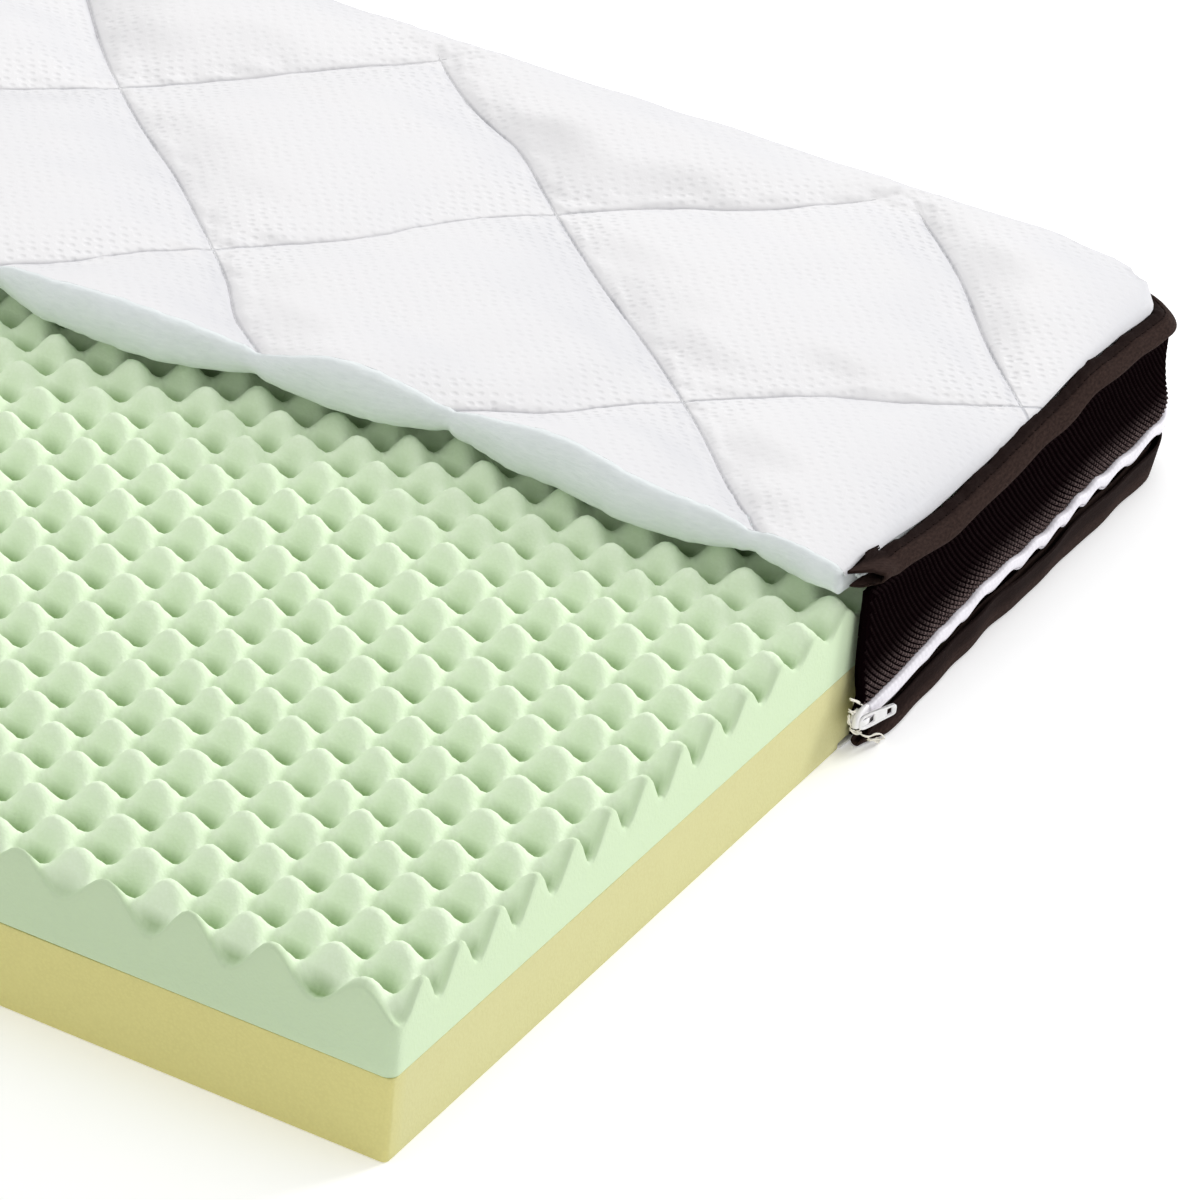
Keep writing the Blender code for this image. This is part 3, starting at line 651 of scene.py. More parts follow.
def slab(name, xs, ys, x_ends, radii, edge, foot, top, material, levels, underside):
    """A foam slab over a grid; underside is a height, or a function where it is stepped."""
    x, y = np.meshgrid(xs, ys)
    half_y = ys[-1]
    x, y = round_corner(x, y, x_ends[0], -1, half_y, radii[0] - edge)
    x, y = round_corner(x, y, x_ends[1], 1, half_y, radii[1] - edge)
    grid = np.stack((x, y, top(x, y)), axis=-1)
    index = np.arange(x.size).reshape(x.shape)
    rim = outline_of(index)
    rim_x, rim_y = x.ravel()[rim], y.ravel()[rim]
    stepped = callable(underside)
    bottom = underside(rim_x, rim_y) if stepped else np.full(rim_x.shape, underside)
    rings = wall_rings(rim_x, rim_y, grid.reshape(-1, 3)[rim, 2], bottom, edge, foot, levels)
    points = np.concatenate((grid.reshape(-1, 3), *rings))
    count = len(rim)
    numbers = [rim] + [np.arange(count) + x.size + k * count for k in range(len(rings))]
    walls = grid_quads(np.array(numbers)[:, ::-1], wrap=True)
    faces = grid_quads(index) + walls
    if stepped:
        # The underside repeats the grid: its rim is the last ring, its inner points are new.
        below = np.full(x.shape, -1)
        below.ravel()[rim] = numbers[-1]
        inner = below < 0
        below[inner] = len(points) + np.arange(inner.sum())
        extra = np.stack((x[inner], y[inner], underside(x[inner], y[inner])), axis=-1)
        points = np.concatenate((points, extra))
        faces += grid_quads(below[:, ::-1])
    else:
        faces.append(numbers[-1][::-1].tolist())
    obj = mesh_object(name, points, faces, material)
    turn_outwards(obj)
    return obj


def close_then_even(start, end, edge_steps, step):
    """Values from start to end: the given small steps first, then even ones."""
    first = start + np.cumsum([0, *edge_steps]) * (1 if end > start else -1)
    rest = np.linspace(first[-1], end, max(int(abs(end - first[-1]) / step) + 1, 2))
    return np.concatenate((first[:-1], rest))


# %% [markdown]
# ### Base foam
#
# The lower slab is plain. Its upper edge meets the glue line, which wanders a little, and under
# the cover it stands on the bottom panel, so its underside is stepped there.

# %% Base foam
BASE_EDGE = 0.4 * MM
NEAR_CORNER = 2.5 * MM
SEAT_X = PANEL_CUT_X - GAP
SEAT_DEPTH = PANEL_THICKNESS + GAP


def glue_line(x, y):
    """How far the edge of the glue line wanders up and down."""
    return 0.12 * MM * unevenness(x, y, 70 * MM, seed=4)


def long_side_share(points):
    """1 on the bare long side of a slab, 0 a few millimetres inside it."""
    return smoothstep(1 - (points[:, 0] + WIDTH / 2 - 0.6 * MM) / (3 * MM))


def base_underside(x, y):
    """The floor on the bare half; under the cover, just above the bottom panel."""
    return np.where(x > SEAT_X + 0.01 * MM, SEAT_DEPTH, 0.0)


half_y = LENGTH / 2 - BASE_EDGE
near_x, far_x = -WIDTH / 2 + BASE_EDGE, WIDTH / 2 - BASE_EDGE
base_xs = np.concatenate((close_then_even(near_x, SEAT_X, (0.8 * MM, 0.8 * MM), 8 * MM),
                          [SEAT_X + 0.02 * MM],
                          close_then_even(far_x, SEAT_X + 10 * MM, [4 * MM] * 6, 16 * MM)[::-1]))
half_ys = close_then_even(half_y, 0, (0.8 * MM, 0.8 * MM, *[4 * MM] * 6), 8 * MM)
base_ys = np.concatenate((-half_ys, half_ys[-2::-1]))
base_foam = slab("foam_base", base_xs, base_ys, (near_x, far_x), (NEAR_CORNER, HIDDEN_CORNER),
                 BASE_EDGE, BASE_EDGE,
                 lambda x, y: BASE_HEIGHT + 0.25 * MM + np.minimum(glue_line(x, y), 0.0),
                 yellow_foam, levels=8, underside=base_underside)
# Painted shade: the long side is tinted deeper than the end.
store(base_foam.data, "depth", long_side_share(points_of(base_foam.data)))
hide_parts("base_foam")
report(base_foam)

# %% [markdown]
# ### Comfort foam
#
# Egg-crate foam is cut by squeezing a slab between rollers with knobs and slicing it in the
# middle. The two halves spring back with the same bumps: peaks and pits in equal number. A product
# of two cosines has just that form, so the height is a formula, with a little unevenness added.

# %% Egg-crate heights
BUMP_MIDDLE = 59.0 * MM
BUMP_SWING = 7.5 * MM
BUMP_PITCH_X = 25.05 * MM
BUMP_PITCH_Y = 33.06 * MM
BUMP_TURN = radians(1.77)
FIRST_PIT_X = -136.3 * MM
FIRST_PIT_Y = -513.8 * MM
BUMP_END_X = 45 * MM
FOAM_EDGE = 1.5 * MM


def bump_height(x, y):
    """The height of the cut with its peaks and pits, anywhere on the slab."""
    dx, dy = x - FIRST_PIT_X, y - FIRST_PIT_Y
    across = dx * cos(BUMP_TURN) + dy * sin(BUMP_TURN)
    along = dy * cos(BUMP_TURN) - dx * sin(BUMP_TURN)
    across = across + 0.5 * MM * unevenness(x, y, 60 * MM, seed=11)
    along = along + 0.6 * MM * unevenness(x, y, 70 * MM, seed=12)
    swing = BUMP_SWING * (1 + 0.045 * unevenness(x, y, 38 * MM, seed=13))
    wave = np.cos(tau * across / BUMP_PITCH_X) * np.cos(tau * along / BUMP_PITCH_Y)
    return BUMP_MIDDLE - swing * wave


PIT_DEPTH = 50.5 * MM           # the painted shade of the pits is full at this height
PIT_RIM = 58.6 * MM             # and starts here
# Painted shade on the cut walls; the long side gets more than the end.
END_WALL_PAINTED_SHADE = 0.26
LONG_SIDE_PAINTED_SHADE = 0.33


def painted_pit_shade(points):
    """Painted shade in the pits; the cut walls get a lighter painted shade."""
    pit = smoothstep((PIT_RIM - points[:, 2]) / (PIT_RIM - PIT_DEPTH))
    inside = np.minimum(points[:, 0] + WIDTH / 2, LENGTH / 2 - np.abs(points[:, 1]))
    wall = mix(END_WALL_PAINTED_SHADE, LONG_SIDE_PAINTED_SHADE, long_side_share(points))
    return mix(wall, pit, smoothstep((inside - 1 * MM) / (4 * MM)))


def comfort_top(x, y):
    """Bumps where the foam is bare, pressed level under the cover."""
    pressed = smoothstep((x - BUMP_END_X) / (3 * MM))
    return mix(np.minimum(bump_height(x, y), PRESSED_HEIGHT), PRESSED_HEIGHT, pressed)


# %% Comfort foam
GRID_STEP = 2.6 * MM

near_x, far_x = -WIDTH / 2 + FOAM_EDGE, WIDTH / 2 - FOAM_EDGE
half_y = LENGTH / 2 - FOAM_EDGE
bump_xs = close_then_even(near_x, BUMP_END_X, (0.9 * MM, 1.4 * MM), GRID_STEP)
covered_xs = close_then_even(far_x, BUMP_END_X + 3 * MM, [5 * MM] * 5, 24 * MM)[::-1]
half_ys = close_then_even(half_y, 0, (0.9 * MM, 1.4 * MM), GRID_STEP)
comfort_foam = slab("foam_comfort", np.concatenate((bump_xs, covered_xs)),
                    np.concatenate((-half_ys, half_ys[-2::-1])), (near_x, far_x),
                    (FOAM_EDGE + NEAR_CORNER, HIDDEN_CORNER), FOAM_EDGE, 0.3 * MM, comfort_top,
                    green_foam, levels=5, underside=BASE_HEIGHT + GAP)
# Painted shade in the pits and on the cut walls.
store(comfort_foam.data, "depth", painted_pit_shade(points_of(comfort_foam.data)))
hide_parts("comfort_foam")
report(comfort_foam)

# %% [markdown]
# ## The quilted top panel
#
# The panel is a knit face sewn to a thick batting in diamonds. The knit's grid is laid out in the
# diamonds' own coordinates p and q, so every quilting line is an edge of the grid and stays crisp,
# and the grid is finer near the lines. Real quilting isn't regular: a short table moves the
# crossings to where they lie, and the grid follows.

# %% Quilting lattice
QUILT_X = 200 * MM
QUILT_Y = 209 * MM
NODE_X = 89 * MM
NODE_Y = -487 * MM
LINE_SPACING = QUILT_X * QUILT_Y / hypot(QUILT_X, QUILT_Y)
LINE_HEIGHT = 77.2 * MM
LINE_CLIMB = 7 * MM
PUFF_RISE = 8 * MM
PUFF_ROUNDNESS = 0.45
LAST_PUFF = 0.6
LAST_PUFF_WIDTH = 26 * MM
SEAM_TO_KNIT = 4.9              # mm from the middle of the seam up to the knit's sewn edge
END_SHOULDER = 40 * MM
CORNER_SPREAD = 0.9             # near the far side the end's shoulder is this share wider
CORNER_REACH = 110 * MM
LONG_SHOULDER = 9 * MM
TOP_CUT_X = 20 * MM
CUT_PULL = 45 * MM


class Shift(NamedTuple):
    """A crossing of quilting lines in mm, and how far it lies from its regular place."""
    x: float
    y: float
    move_x: float
    move_y: float


CROSSINGS = (
    Shift(x=89, y=-487, move_x=5, move_y=0),
    Shift(x=89, y=-278, move_x=-2, move_y=-1),
    Shift(x=189, y=-382, move_x=11, move_y=12),
    Shift(x=189, y=-174, move_x=-4, move_y=3),
    Shift(x=189, y=-592, move_x=-13, move_y=0),
    Shift(x=289, y=-487, move_x=2, move_y=4),
    Shift(x=289, y=-278, move_x=-9, move_y=10),
    Shift(x=22, y=-557, move_x=0, move_y=1),
    Shift(x=22, y=-417, move_x=0, move_y=-11),
    Shift(x=22, y=-348, move_x=0, move_y=11),
    Shift(x=22, y=-208, move_x=0, move_y=-16),
)
SHIFT_REACH = 48 * MM
STAY_PUT = 0.25                 # the weight of not moving; a crossing still moves by all of its shift


def shifted(x, y):
    """Regular places moved with the crossings near them."""
    total, move_x, move_y = STAY_PUT, 0.0, 0.0
    for row in CROSSINGS:
        far = ((x - row.x * MM) ** 2 + (y - row.y * MM) ** 2) / SHIFT_REACH ** 2
        weight = np.exp(-far)
        total = total + weight
        move_x = move_x + weight * row.move_x * MM * (1 + STAY_PUT)
        move_y = move_y + weight * row.move_y * MM * (1 + STAY_PUT)
    return x + move_x / total, y + move_y / total


# %% Height of the panel
def shoulder(x, y):
    """0 at the panel's sewn edges, 1 where it lies level."""
    end_shoulder = END_SHOULDER * (1 + CORNER_SPREAD * smoothstep(1 - (FAR_X - x) / CORNER_REACH))
    share = np.minimum((LENGTH / 2 - PANEL_EDGE - np.abs(y)) / end_shoulder,
                       (FAR_X - PANEL_EDGE - x) / LONG_SHOULDER)
    past_x, past_y = x - CORNER_X, np.abs(y) + CORNER_Y
    from_corner = (SIDE_CORNER - PANEL_EDGE - np.hypot(past_x, past_y)) / LONG_SHOULDER
    share = np.where((past_x > 0) & (past_y > 0), np.minimum(share, from_corner), share)
    share = np.clip(share, 0, 1)
    return np.sqrt(1 - (1 - share) ** 2)


def border_place(x, y):
    """Distance along the border of the point nearest to (x, y)."""
    end = LENGTH / 2 - np.abs(y) < FAR_X - x
    along = np.where(end, np.minimum(x, CORNER_X) - CUT_X,
                     END_RUN + CORNER_RUN + np.maximum(-CORNER_Y - np.abs(y), 0))
    return np.where(y < 0, along, BORDER_LENGTH - along)


def crown(p, q, x):
    """0 on a quilting line, 1 in the middle of a diamond; the lines fade at the long side."""
    quilted = np.abs(np.sin(pi * p) * np.sin(pi * q)) ** PUFF_ROUNDNESS
    fade = smoothstep(1 - (FAR_X - LONG_SHOULDER - x) / LAST_PUFF_WIDTH)
    return mix(quilted, LAST_PUFF, fade)


def panel_top(x, y, p, q):
    """Height of the knit's face."""
    seam_top = (section("seam", border_place(x, y)) + SEAM_TO_KNIT) * MM
    line = LINE_HEIGHT + LINE_CLIMB * smoothstep(1 - 2 * (NODE_X + QUILT_X - x) / QUILT_X)
    return mix(seam_top, line + PUFF_RISE * crown(p, q, x), shoulder(x, y))


def cut_share(x):
    """1 at the cut edge, 0 where the cloth no longer follows it."""
    return smoothstep(1 - (x - TOP_CUT_X) / CUT_PULL)


def cut_row(column, y):
    """A column of CUT_EDGE in metres; both halves of the length are alike."""
    return read_table(CUT_EDGE, column, (LENGTH / 2 - np.abs(y)) / MM) * MM


def cut_x(y):
    """Where scissors cut the panel, with small wobbles."""
    return cut_row("x", y) + 0.25 * MM * unevenness(y, 0 * y, 6 * MM, seed=24)


# %% Fine grid of the knit
QUILT_STEPS = 44
GRADING = 0.68


def graded(steps):
    """Lattice coordinates whose steps are finer near whole numbers."""
    return steps - GRADING * np.sin(tau * steps) / tau


def lattice_place(p, q):
    """x and y of lattice coordinates, with the crossings where they really lie."""
    return shifted(NODE_X + QUILT_X * (p + q) / 2, NODE_Y + QUILT_Y * (p - q) / 2)


def to_line(p, q):
    """How far it is to the nearest quilting line, in lattice steps; 0.5 is the middle."""
    return np.minimum(np.abs(p - np.round(p)), np.abs(q - np.round(q)))


def lattice_steps(steps):
    """Even lattice coordinates that reach past the panel, `steps` from line to line."""
    return np.arange(-7 * steps, 8 * steps + 1) / steps


def trim_lattice(inside, keep):
    """Numbers of the points to keep, and quads over them; `keep` is np.any or np.all."""
    quads = np.array(grid_quads(np.arange(inside.size).reshape(inside.shape)))
    quads = quads[:, ::-1]      # p and q turn against x and y, so this makes the faces look up
    quads = quads[keep(inside.ravel()[quads], axis=1)]
    used = np.unique(quads)
    renumber = np.full(inside.size, -1)
    renumber[used] = np.arange(len(used))
    return used, renumber[quads].tolist()


def lattice_patch(steps):
    """Points and quads of the lattice that cover the panel, with a little over."""
    values = graded(lattice_steps(steps))
    p, q = np.meshgrid(values, values)
    x, y = lattice_place(p, q)
    margin = 8 * MM
    used, quads = trim_lattice((x > TOP_CUT_X - margin) & (x < FAR_X + margin)
                               & (np.abs(y) < LENGTH / 2 + margin), np.any)
    return (*(part.ravel()[used] for part in (x, y, p, q)), quads)


# %% [markdown]
# ### Inflating the puffs
#
# Batting pushes the knit up between the quilting lines. Blender's cloth simulation does the same:
# a coarse copy of the panel is pinned along its lines and rims, and air pressure blows it up from
# the formula's shape. Its points may move only a few millimetres. The result is carried to the
# fine grid through the lattice coordinates that both share.

# %% Cloth simulation of the knit
SIM_STEPS = 20
SIM_FRAMES = 16
SIM_CAP = 3 * MM
SIM_PRESSURE = 2.0
SIM_SPARE = 0.006               # the knit is this much longer than the formula's shape
SIM_SMOOTHING = 3
SIM_STRETCH = 8.0               # stiffness against stretch and squash
SIM_BEND = 0.6
FAR_RIM = 26 * MM               # so much of the far side's rim is held
END_RIM = 20 * MM               # and of the rims at the ends
CUT_RIM_X = 12 * MM             # as is all before this x, past the cut edge


def simulate_puffs():
    """Sideways and upward movement of the lattice, as a (3, n, n) array over p and q."""
    values = lattice_steps(SIM_STEPS)
    p, q = np.meshgrid(values, values)
    moved = np.zeros((3, *p.shape))
    x, y = lattice_place(p, q)
    margin = 30 * MM
    used, quads = trim_lattice((x > 0) & (x < FAR_X + margin)
                               & (np.abs(y) < LENGTH / 2 + margin), np.all)
    start = np.stack((x, y, panel_top(x, y, p, q)), axis=-1).reshape(-1, 3)[used]
    cloth = mesh_object("knit_sim", start, quads, quilted_knit)
    on_line = to_line(p, q) < 1e-6
    at_rim = (x > FAR_X - FAR_RIM) | (np.abs(y) > LENGTH / 2 - END_RIM) | (x < CUT_RIM_X)
    held = (on_line | at_rim).ravel()[used]
    group = cloth.vertex_groups.new(name="sewn")
    group.add(np.flatnonzero(held).tolist(), 1.0, "REPLACE")
    sim = cloth.modifiers.new("cloth", "CLOTH")
    sim.settings.vertex_group_mass = "sewn"
    sim.settings.use_pressure = True
    sim.settings.uniform_pressure_force = SIM_PRESSURE
    sim.settings.effector_weights.gravity = 0
    sim.settings.tension_stiffness = SIM_STRETCH
    sim.settings.compression_stiffness = SIM_STRETCH
    sim.settings.bending_stiffness = SIM_BEND
    sim.settings.shrink_min = -SIM_SPARE
    sim.point_cache.frame_end = SIM_FRAMES
    scene = bpy.context.scene
    for number in range(1, SIM_FRAMES + 1):
        scene.frame_set(number)
    depsgraph = bpy.context.evaluated_depsgraph_get()
    result = cloth.evaluated_get(depsgraph).to_mesh()
    move = points_of(result) - start
    length = np.linalg.norm(move, axis=1, keepdims=True)
    print(f"cloth moved {length.mean() / MM:.2f} mm on average, {length.max() / MM:.2f} at most, "
          f"{move[:, 2].mean() / MM:.2f} upwards")
    move *= SIM_CAP * np.tanh(length / SIM_CAP) / np.maximum(length, 1e-9)
    for axis in range(3):
        moved[axis].ravel()[used] = move[:, axis]
    for _ in range(SIM_SMOOTHING):
        around = (moved[:, :-2, 1:-1] + moved[:, 2:, 1:-1] + moved[:, 1:-1, :-2]
                  + moved[:, 1:-1, 2:]) / 4
        moved[:, 1:-1, 1:-1] = mix(moved[:, 1:-1, 1:-1], around, 0.5)
        moved[:, on_line] = 0
    scene.frame_set(1)
    bpy.data.objects.remove(cloth, do_unlink=True)
    return values, moved


def sample_lattice(values, field, p, q):
    """A lattice field between its points."""
    step = values[1] - values[0]
    a, b = (p - values[0]) / step, (q - values[0]) / step
    i = np.clip(a.astype(int), 0, len(values) - 2)
    j = np.clip(b.astype(int), 0, len(values) - 2)
    s, t = a - i, b - j
    return (field[:, j, i] * (1 - s) * (1 - t) + field[:, j, i + 1] * s * (1 - t)
            + field[:, j + 1, i] * (1 - s) * t + field[:, j + 1, i + 1] * s * t)


sim_values, sim_moves = simulate_puffs()


# %% The knit, trimmed and folded into place
KNIT_THICKNESS = 0.9 * MM
LEVEL_PAINTED_SHADE = 0.12              # the painted shade that level cloth stores; leaning to the far side counts more than to the ends
SHOULDER_LINES = (0.7 * MM, 1.8 * MM, 3.5 * MM, 6 * MM, 9 * MM)
END_LINES = (0.9 * MM, 2.2 * MM, 4.5 * MM, 8 * MM)
CORNER_PLANES = 8
PUCKER_HEIGHT = 0.35 * MM
LUMP_HEIGHT = 0.35 * MM


def cut_plane(bm, point, outward, clear):
    """Cut edges into a mesh where a plane meets it; `clear` removes what lies outside."""
    bmesh.ops.bisect_plane(bm, geom=bm.verts[:] + bm.edges[:] + bm.faces[:], dist=1e-6,
                           plane_co=point, plane_no=outward, clear_outer=clear)


def rim_planes():
    """Planes that bound the panel at its sewn edges."""
    radius = SIDE_CORNER - PANEL_EDGE
    planes = [(Vector((FAR_X - PANEL_EDGE, 0, 0)), Vector((1, 0, 0)))]
    for side in (1, -1):
        planes.append((Vector((0, side * (LENGTH / 2 - PANEL_EDGE), 0)), Vector((0, side, 0))))
        centre = Vector((CORNER_X, -side * CORNER_Y, 0))
        for step in range(1, CORNER_PLANES):
            angle = pi / 2 * step / CORNER_PLANES
            outward = Vector((sin(angle), side * cos(angle), 0))
            planes.append((centre + outward * radius, outward))
    return planes


def quilt_relief(x, y, p, q):
    """Small puckers beside the quilting lines and soft lumps in the batting."""
    near = to_line(p, q)
    pucker = np.exp(-(near / 0.06) ** 2) * np.clip(near / 0.02, 0, 1)
    lumps = LUMP_HEIGHT * unevenness(x, y, 34 * MM, seed=21) * np.clip(near / 0.15, 0, 1)
    return PUCKER_HEIGHT * pucker * unevenness(x, y, 9 * MM, seed=22) + lumps


def knit_points(x, y, p, q):
    """Where points of the flat lattice end up on the knit's face."""
    level = shoulder(x, y)
    moves = sample_lattice(sim_values, sim_moves, p, q) * level
    share = cut_share(x)
    z = panel_top(x, y, p, q) + quilt_relief(x, y, p, q) * level
    z = z + moves[2] + cut_row("lift", y) * share
    end_x = x + moves[0] * (1 - share) + (cut_x(y) - TOP_CUT_X) * share
    return np.stack((end_x, y + moves[1] * (1 - share), z), axis=-1)


def store_looks(mesh, x, y, p, q):
    """Keep what the knit's material reads: painted shade where it leans out, depth and painted shade
    of dimples, and distance to a line.
    """
    normals = np.empty(len(x) * 3)
    mesh.vertex_normals.foreach_get("vector", normals)
    # Painted shade where the knit leans outwards; leaning to the far side counts most.
    down_x, down_y = normals[::3], normals[1::3] * np.clip(3 * y / LENGTH, -1, 1)
    store(mesh, "painted_lean_shade", np.clip(LEVEL_PAINTED_SHADE + 0.88 * down_x + 0.47 * down_y, 0, 0.45))
    deep = mix(1.0, 0.4, smoothstep((crown(p, q, x) - 0.25) / 0.55))
    deep *= smoothstep(shoulder(x, y) / 0.8) * smoothstep((x - TOP_CUT_X) / (4 * MM))
    store(mesh, "dimple_depth_and_shade", deep)
    nearest = to_line(p, q) * LINE_SPACING
    nearest += 2 * MM * smoothstep(1 - (FAR_X - LONG_SHOULDER - x) / LAST_PUFF_WIDTH)
    store(mesh, "line_distance", nearest)


def build_knit():
    """The knit's face: the flat lattice, trimmed to the panel and raised into its shape."""
    x, y, p, q, quads = lattice_patch(QUILT_STEPS)
    mesh = bpy.data.meshes.new("knit_grid")
    mesh.from_pydata(np.stack((x, y, np.zeros_like(x)), axis=-1).tolist(), [], quads)
    store(mesh, "p", p)
    store(mesh, "q", q)
    bm = bmesh.new()
    bm.from_mesh(mesh)
    cut_plane(bm, Vector((TOP_CUT_X, 0, 0)), Vector((-1, 0, 0)), clear=True)
    for point, outward in rim_planes():
        cut_plane(bm, point, outward, clear=True)
    for inset in SHOULDER_LINES:
        cut_plane(bm, Vector((FAR_X - PANEL_EDGE - inset, 0, 0)), Vector((1, 0, 0)), clear=False)
    for inset in END_LINES:
        for side in (1, -1):
            cut_plane(bm, Vector((0, side * (LENGTH / 2 - PANEL_EDGE - inset), 0)),
                      Vector((0, side, 0)), clear=False)
    bm.to_mesh(mesh)
    bm.free()
    x, y, _ = points_of(mesh).T
    p, q = np.empty(len(x)), np.empty(len(x))
    mesh.attributes["p"].data.foreach_get("value", p)
    mesh.attributes["q"].data.foreach_get("value", q)
    mesh.vertices.foreach_set("co", knit_points(x, y, p, q).reshape(-1))
    mesh.update()
    store_looks(mesh, x, y, p, q)
    mesh.materials.append(quilted_knit)
    mesh.shade_smooth()
    return new_object("quilted_knit_panel", mesh)


def evaluated_mesh(obj):
    """A new mesh of what an object's modifiers or bevel make of it."""
    depsgraph = bpy.context.evaluated_depsgraph_get()
    return bpy.data.meshes.new_from_object(obj.evaluated_get(depsgraph))


def bake_modifiers(obj):
    """Turn an object with live modifiers into a plain mesh."""
    mesh = evaluated_mesh(obj)
    obj.modifiers.clear()
    obj.data = mesh
    return obj


knit = build_knit()
wall = knit.modifiers.new("knit thickness", "SOLIDIFY")
wall.thickness = KNIT_THICKNESS
wall.offset = -1
bake_modifiers(knit)
knit.data.set_sharp_from_angle(angle=radians(55))
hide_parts("cover_top")
report(knit)

# %% [markdown]
# ### Batting
#
# Under the knit lies the batting. Only its cut face shows: a soft bulge that is full in the
# middle of a diamond and pinched where a quilting line ends. One ring of points runs round the
# whole body at each station along the length, and the bulge is part of that ring.

# %% Batting
BATTING_OUT = 9.5 * MM
BATTING_STEP = 2.6 * MM
LENS_STEPS = 12
LENS_SAG = 1.35                 # over 1, the bulge is fullest below its middle
COVER_ROWS = 34                 # points of a ring under the knit
SEAM_INSET = PANEL_EDGE + 1.5 * MM
FULL_BULGE = 17 * MM            # a cut face this high bulges out by all of BATTING_OUT
PINCH_LIFT = 5 * MM             # a quilting line lifts the batting's lower edge this much


def lattice_of(x, y):
    """Lattice coordinates of any place, found by undoing the shift of the crossings."""
    regular_x, regular_y = x.copy(), y.copy()
    for _ in range(6):
        moved_x, moved_y = shifted(regular_x, regular_y)
        regular_x, regular_y = regular_x + (x - moved_x), regular_y + (y - moved_y)
    a, b = (regular_x - NODE_X) / QUILT_X, (regular_y - NODE_Y) / QUILT_Y
    return a + b, a - b


def build_batting():
    """A closed loft whose rings run round the bulge, the underside, the far side and the top."""
    half = LENGTH / 2 - SEAM_INSET
    ys = np.linspace(-half, half, int(2 * half / BATTING_STEP))
    edge_x = cut_x(ys)
    regular = np.full_like(ys, TOP_CUT_X)
    p, q = lattice_of(regular, ys)
    top = knit_points(regular, ys, p, q)[:, 2] - 0.02 * MM
    pinch = np.clip(1 - 1.5 * crown(p, q, regular), 0, 1)
    foot = PANEL_UNDERSIDE + PINCH_LIFT * pinch
    thick = top - foot
    fullness = np.clip(thick / FULL_BULGE, 0.2, 1.2)
    rows = []
    # The bulge, from the knit's edge down to the foam.
    for k in range(LENS_STEPS + 1):
        angle = pi * k / LENS_STEPS
        out = BATTING_OUT * fullness * sin(pi * (k / LENS_STEPS) ** LENS_SAG) ** 0.7
        rough = 0.25 * MM * unevenness(ys, np.full_like(ys, k * 3 * MM), 14 * MM, seed=31)
        tuck = 3 * MM * (k / LENS_STEPS) ** 3
        start = 0.02 * MM if k == 0 else -0.2 * MM      # the first row hides in the knit's rim
        rows.append((edge_x + start - out + tuck + rough * sin(angle),
                     top - thick * (1 - cos(angle)) / 2))
    back_x = np.where(np.abs(ys) > -CORNER_Y, CORNER_X + np.sqrt(np.maximum(
        (SIDE_CORNER - SEAM_INSET) ** 2 - (np.abs(ys) + CORNER_Y) ** 2, 0)), FAR_X - SEAM_INSET)
    rows.append((edge_x + 12 * MM, np.full_like(ys, PANEL_UNDERSIDE)))
    rows.append((back_x - 6 * MM, np.full_like(ys, PANEL_UNDERSIDE)))
    rows.append((back_x, np.full_like(ys, PANEL_UNDERSIDE + 0.5 * MM)))
    for share in np.linspace(1, 0, COVER_ROWS):
        regular = mix(TOP_CUT_X + 1.5 * MM, back_x, share ** 1.4)
        p, q = lattice_of(regular, ys)
        face = knit_points(regular, ys, p, q)
        below = mix(KNIT_THICKNESS + 0.3 * MM, 4.6 * MM, smoothstep((regular - TOP_CUT_X) / (50 * MM)))
        rows.append((face[:, 0], np.maximum(face[:, 2] - below, PANEL_UNDERSIDE + 0.8 * MM)))
    rings = np.stack([np.stack((x, ys, z), axis=-1) for x, z in rows], axis=1)
    return closed_loft("batting", rings, batting_fibre, None)


batting = build_batting()
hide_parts("cover_top")
report(batting)

# %% [markdown]
# ## The bottom panel
#
# A thin cloth lies flat under the foam. Only its cut edge and the strip at the border show. It is
# a flat sheet with round corners, built like a very low slab.

# %% Bottom panel
edge = 0.5 * MM
near_x, far_x = PANEL_CUT_X + edge, FAR_X + PANEL_OUT - edge
half_y = LENGTH / 2 + PANEL_OUT - edge
panel_xs = np.concatenate((np.linspace(near_x, far_x - SIDE_CORNER, 30),
                           np.linspace(far_x - SIDE_CORNER, far_x, 8)[1:]))
half_ys = np.concatenate((np.linspace(half_y, half_y - SIDE_CORNER, 8),
                          np.linspace(half_y - SIDE_CORNER, 0, 60)[1:]))
bottom_panel = slab("bottom_panel", panel_xs, np.concatenate((-half_ys, half_ys[-2::-1])),
                    (near_x, far_x), (2 * MM, SIDE_CORNER + PANEL_OUT), edge, edge,
                    lambda x, y: np.full(x.shape, 1.3 * MM), thin_cloth, levels=2,
                    underside=0.0)
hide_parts("cover_bottom")
report(bottom_panel)

# %% [markdown]
# ## The top binding
#
# The seam between top panel and side band is bound with a tape that is folded over both raw
# edges. In section it is a U on its side: over the seam, round the fold, and back underneath. The
# sewing pulls it in, so small slanted puckers run along its upper edge.

# %% Top binding
BINDING_THICKNESS = 1.0         # mm, as the profiles are in mm
PUCKER_PITCH = 6.5 * MM

# (out, height above the seam) in mm, from the edge on the panel round the fold and back
TOP_BINDING_LINE = ((-2.6, 4.6), (-0.8, 5.3), (1.0, 5.2), (2.2, 4.5), (3.6, 4.5), (5.4, 3.6),
                    (7.0, 2.0), (7.9, 0.2), (7.6, -1.4), (6.2, -2.2), (4.2, -1.6), (1.0, 0.0))


class TornEnd(NamedTuple):
    """The ragged end of a cut tape: by the share of its width, in mm."""
    share: float
    reach: float    # further out past the cut
    inward: float   # over the top panel
    lift: float


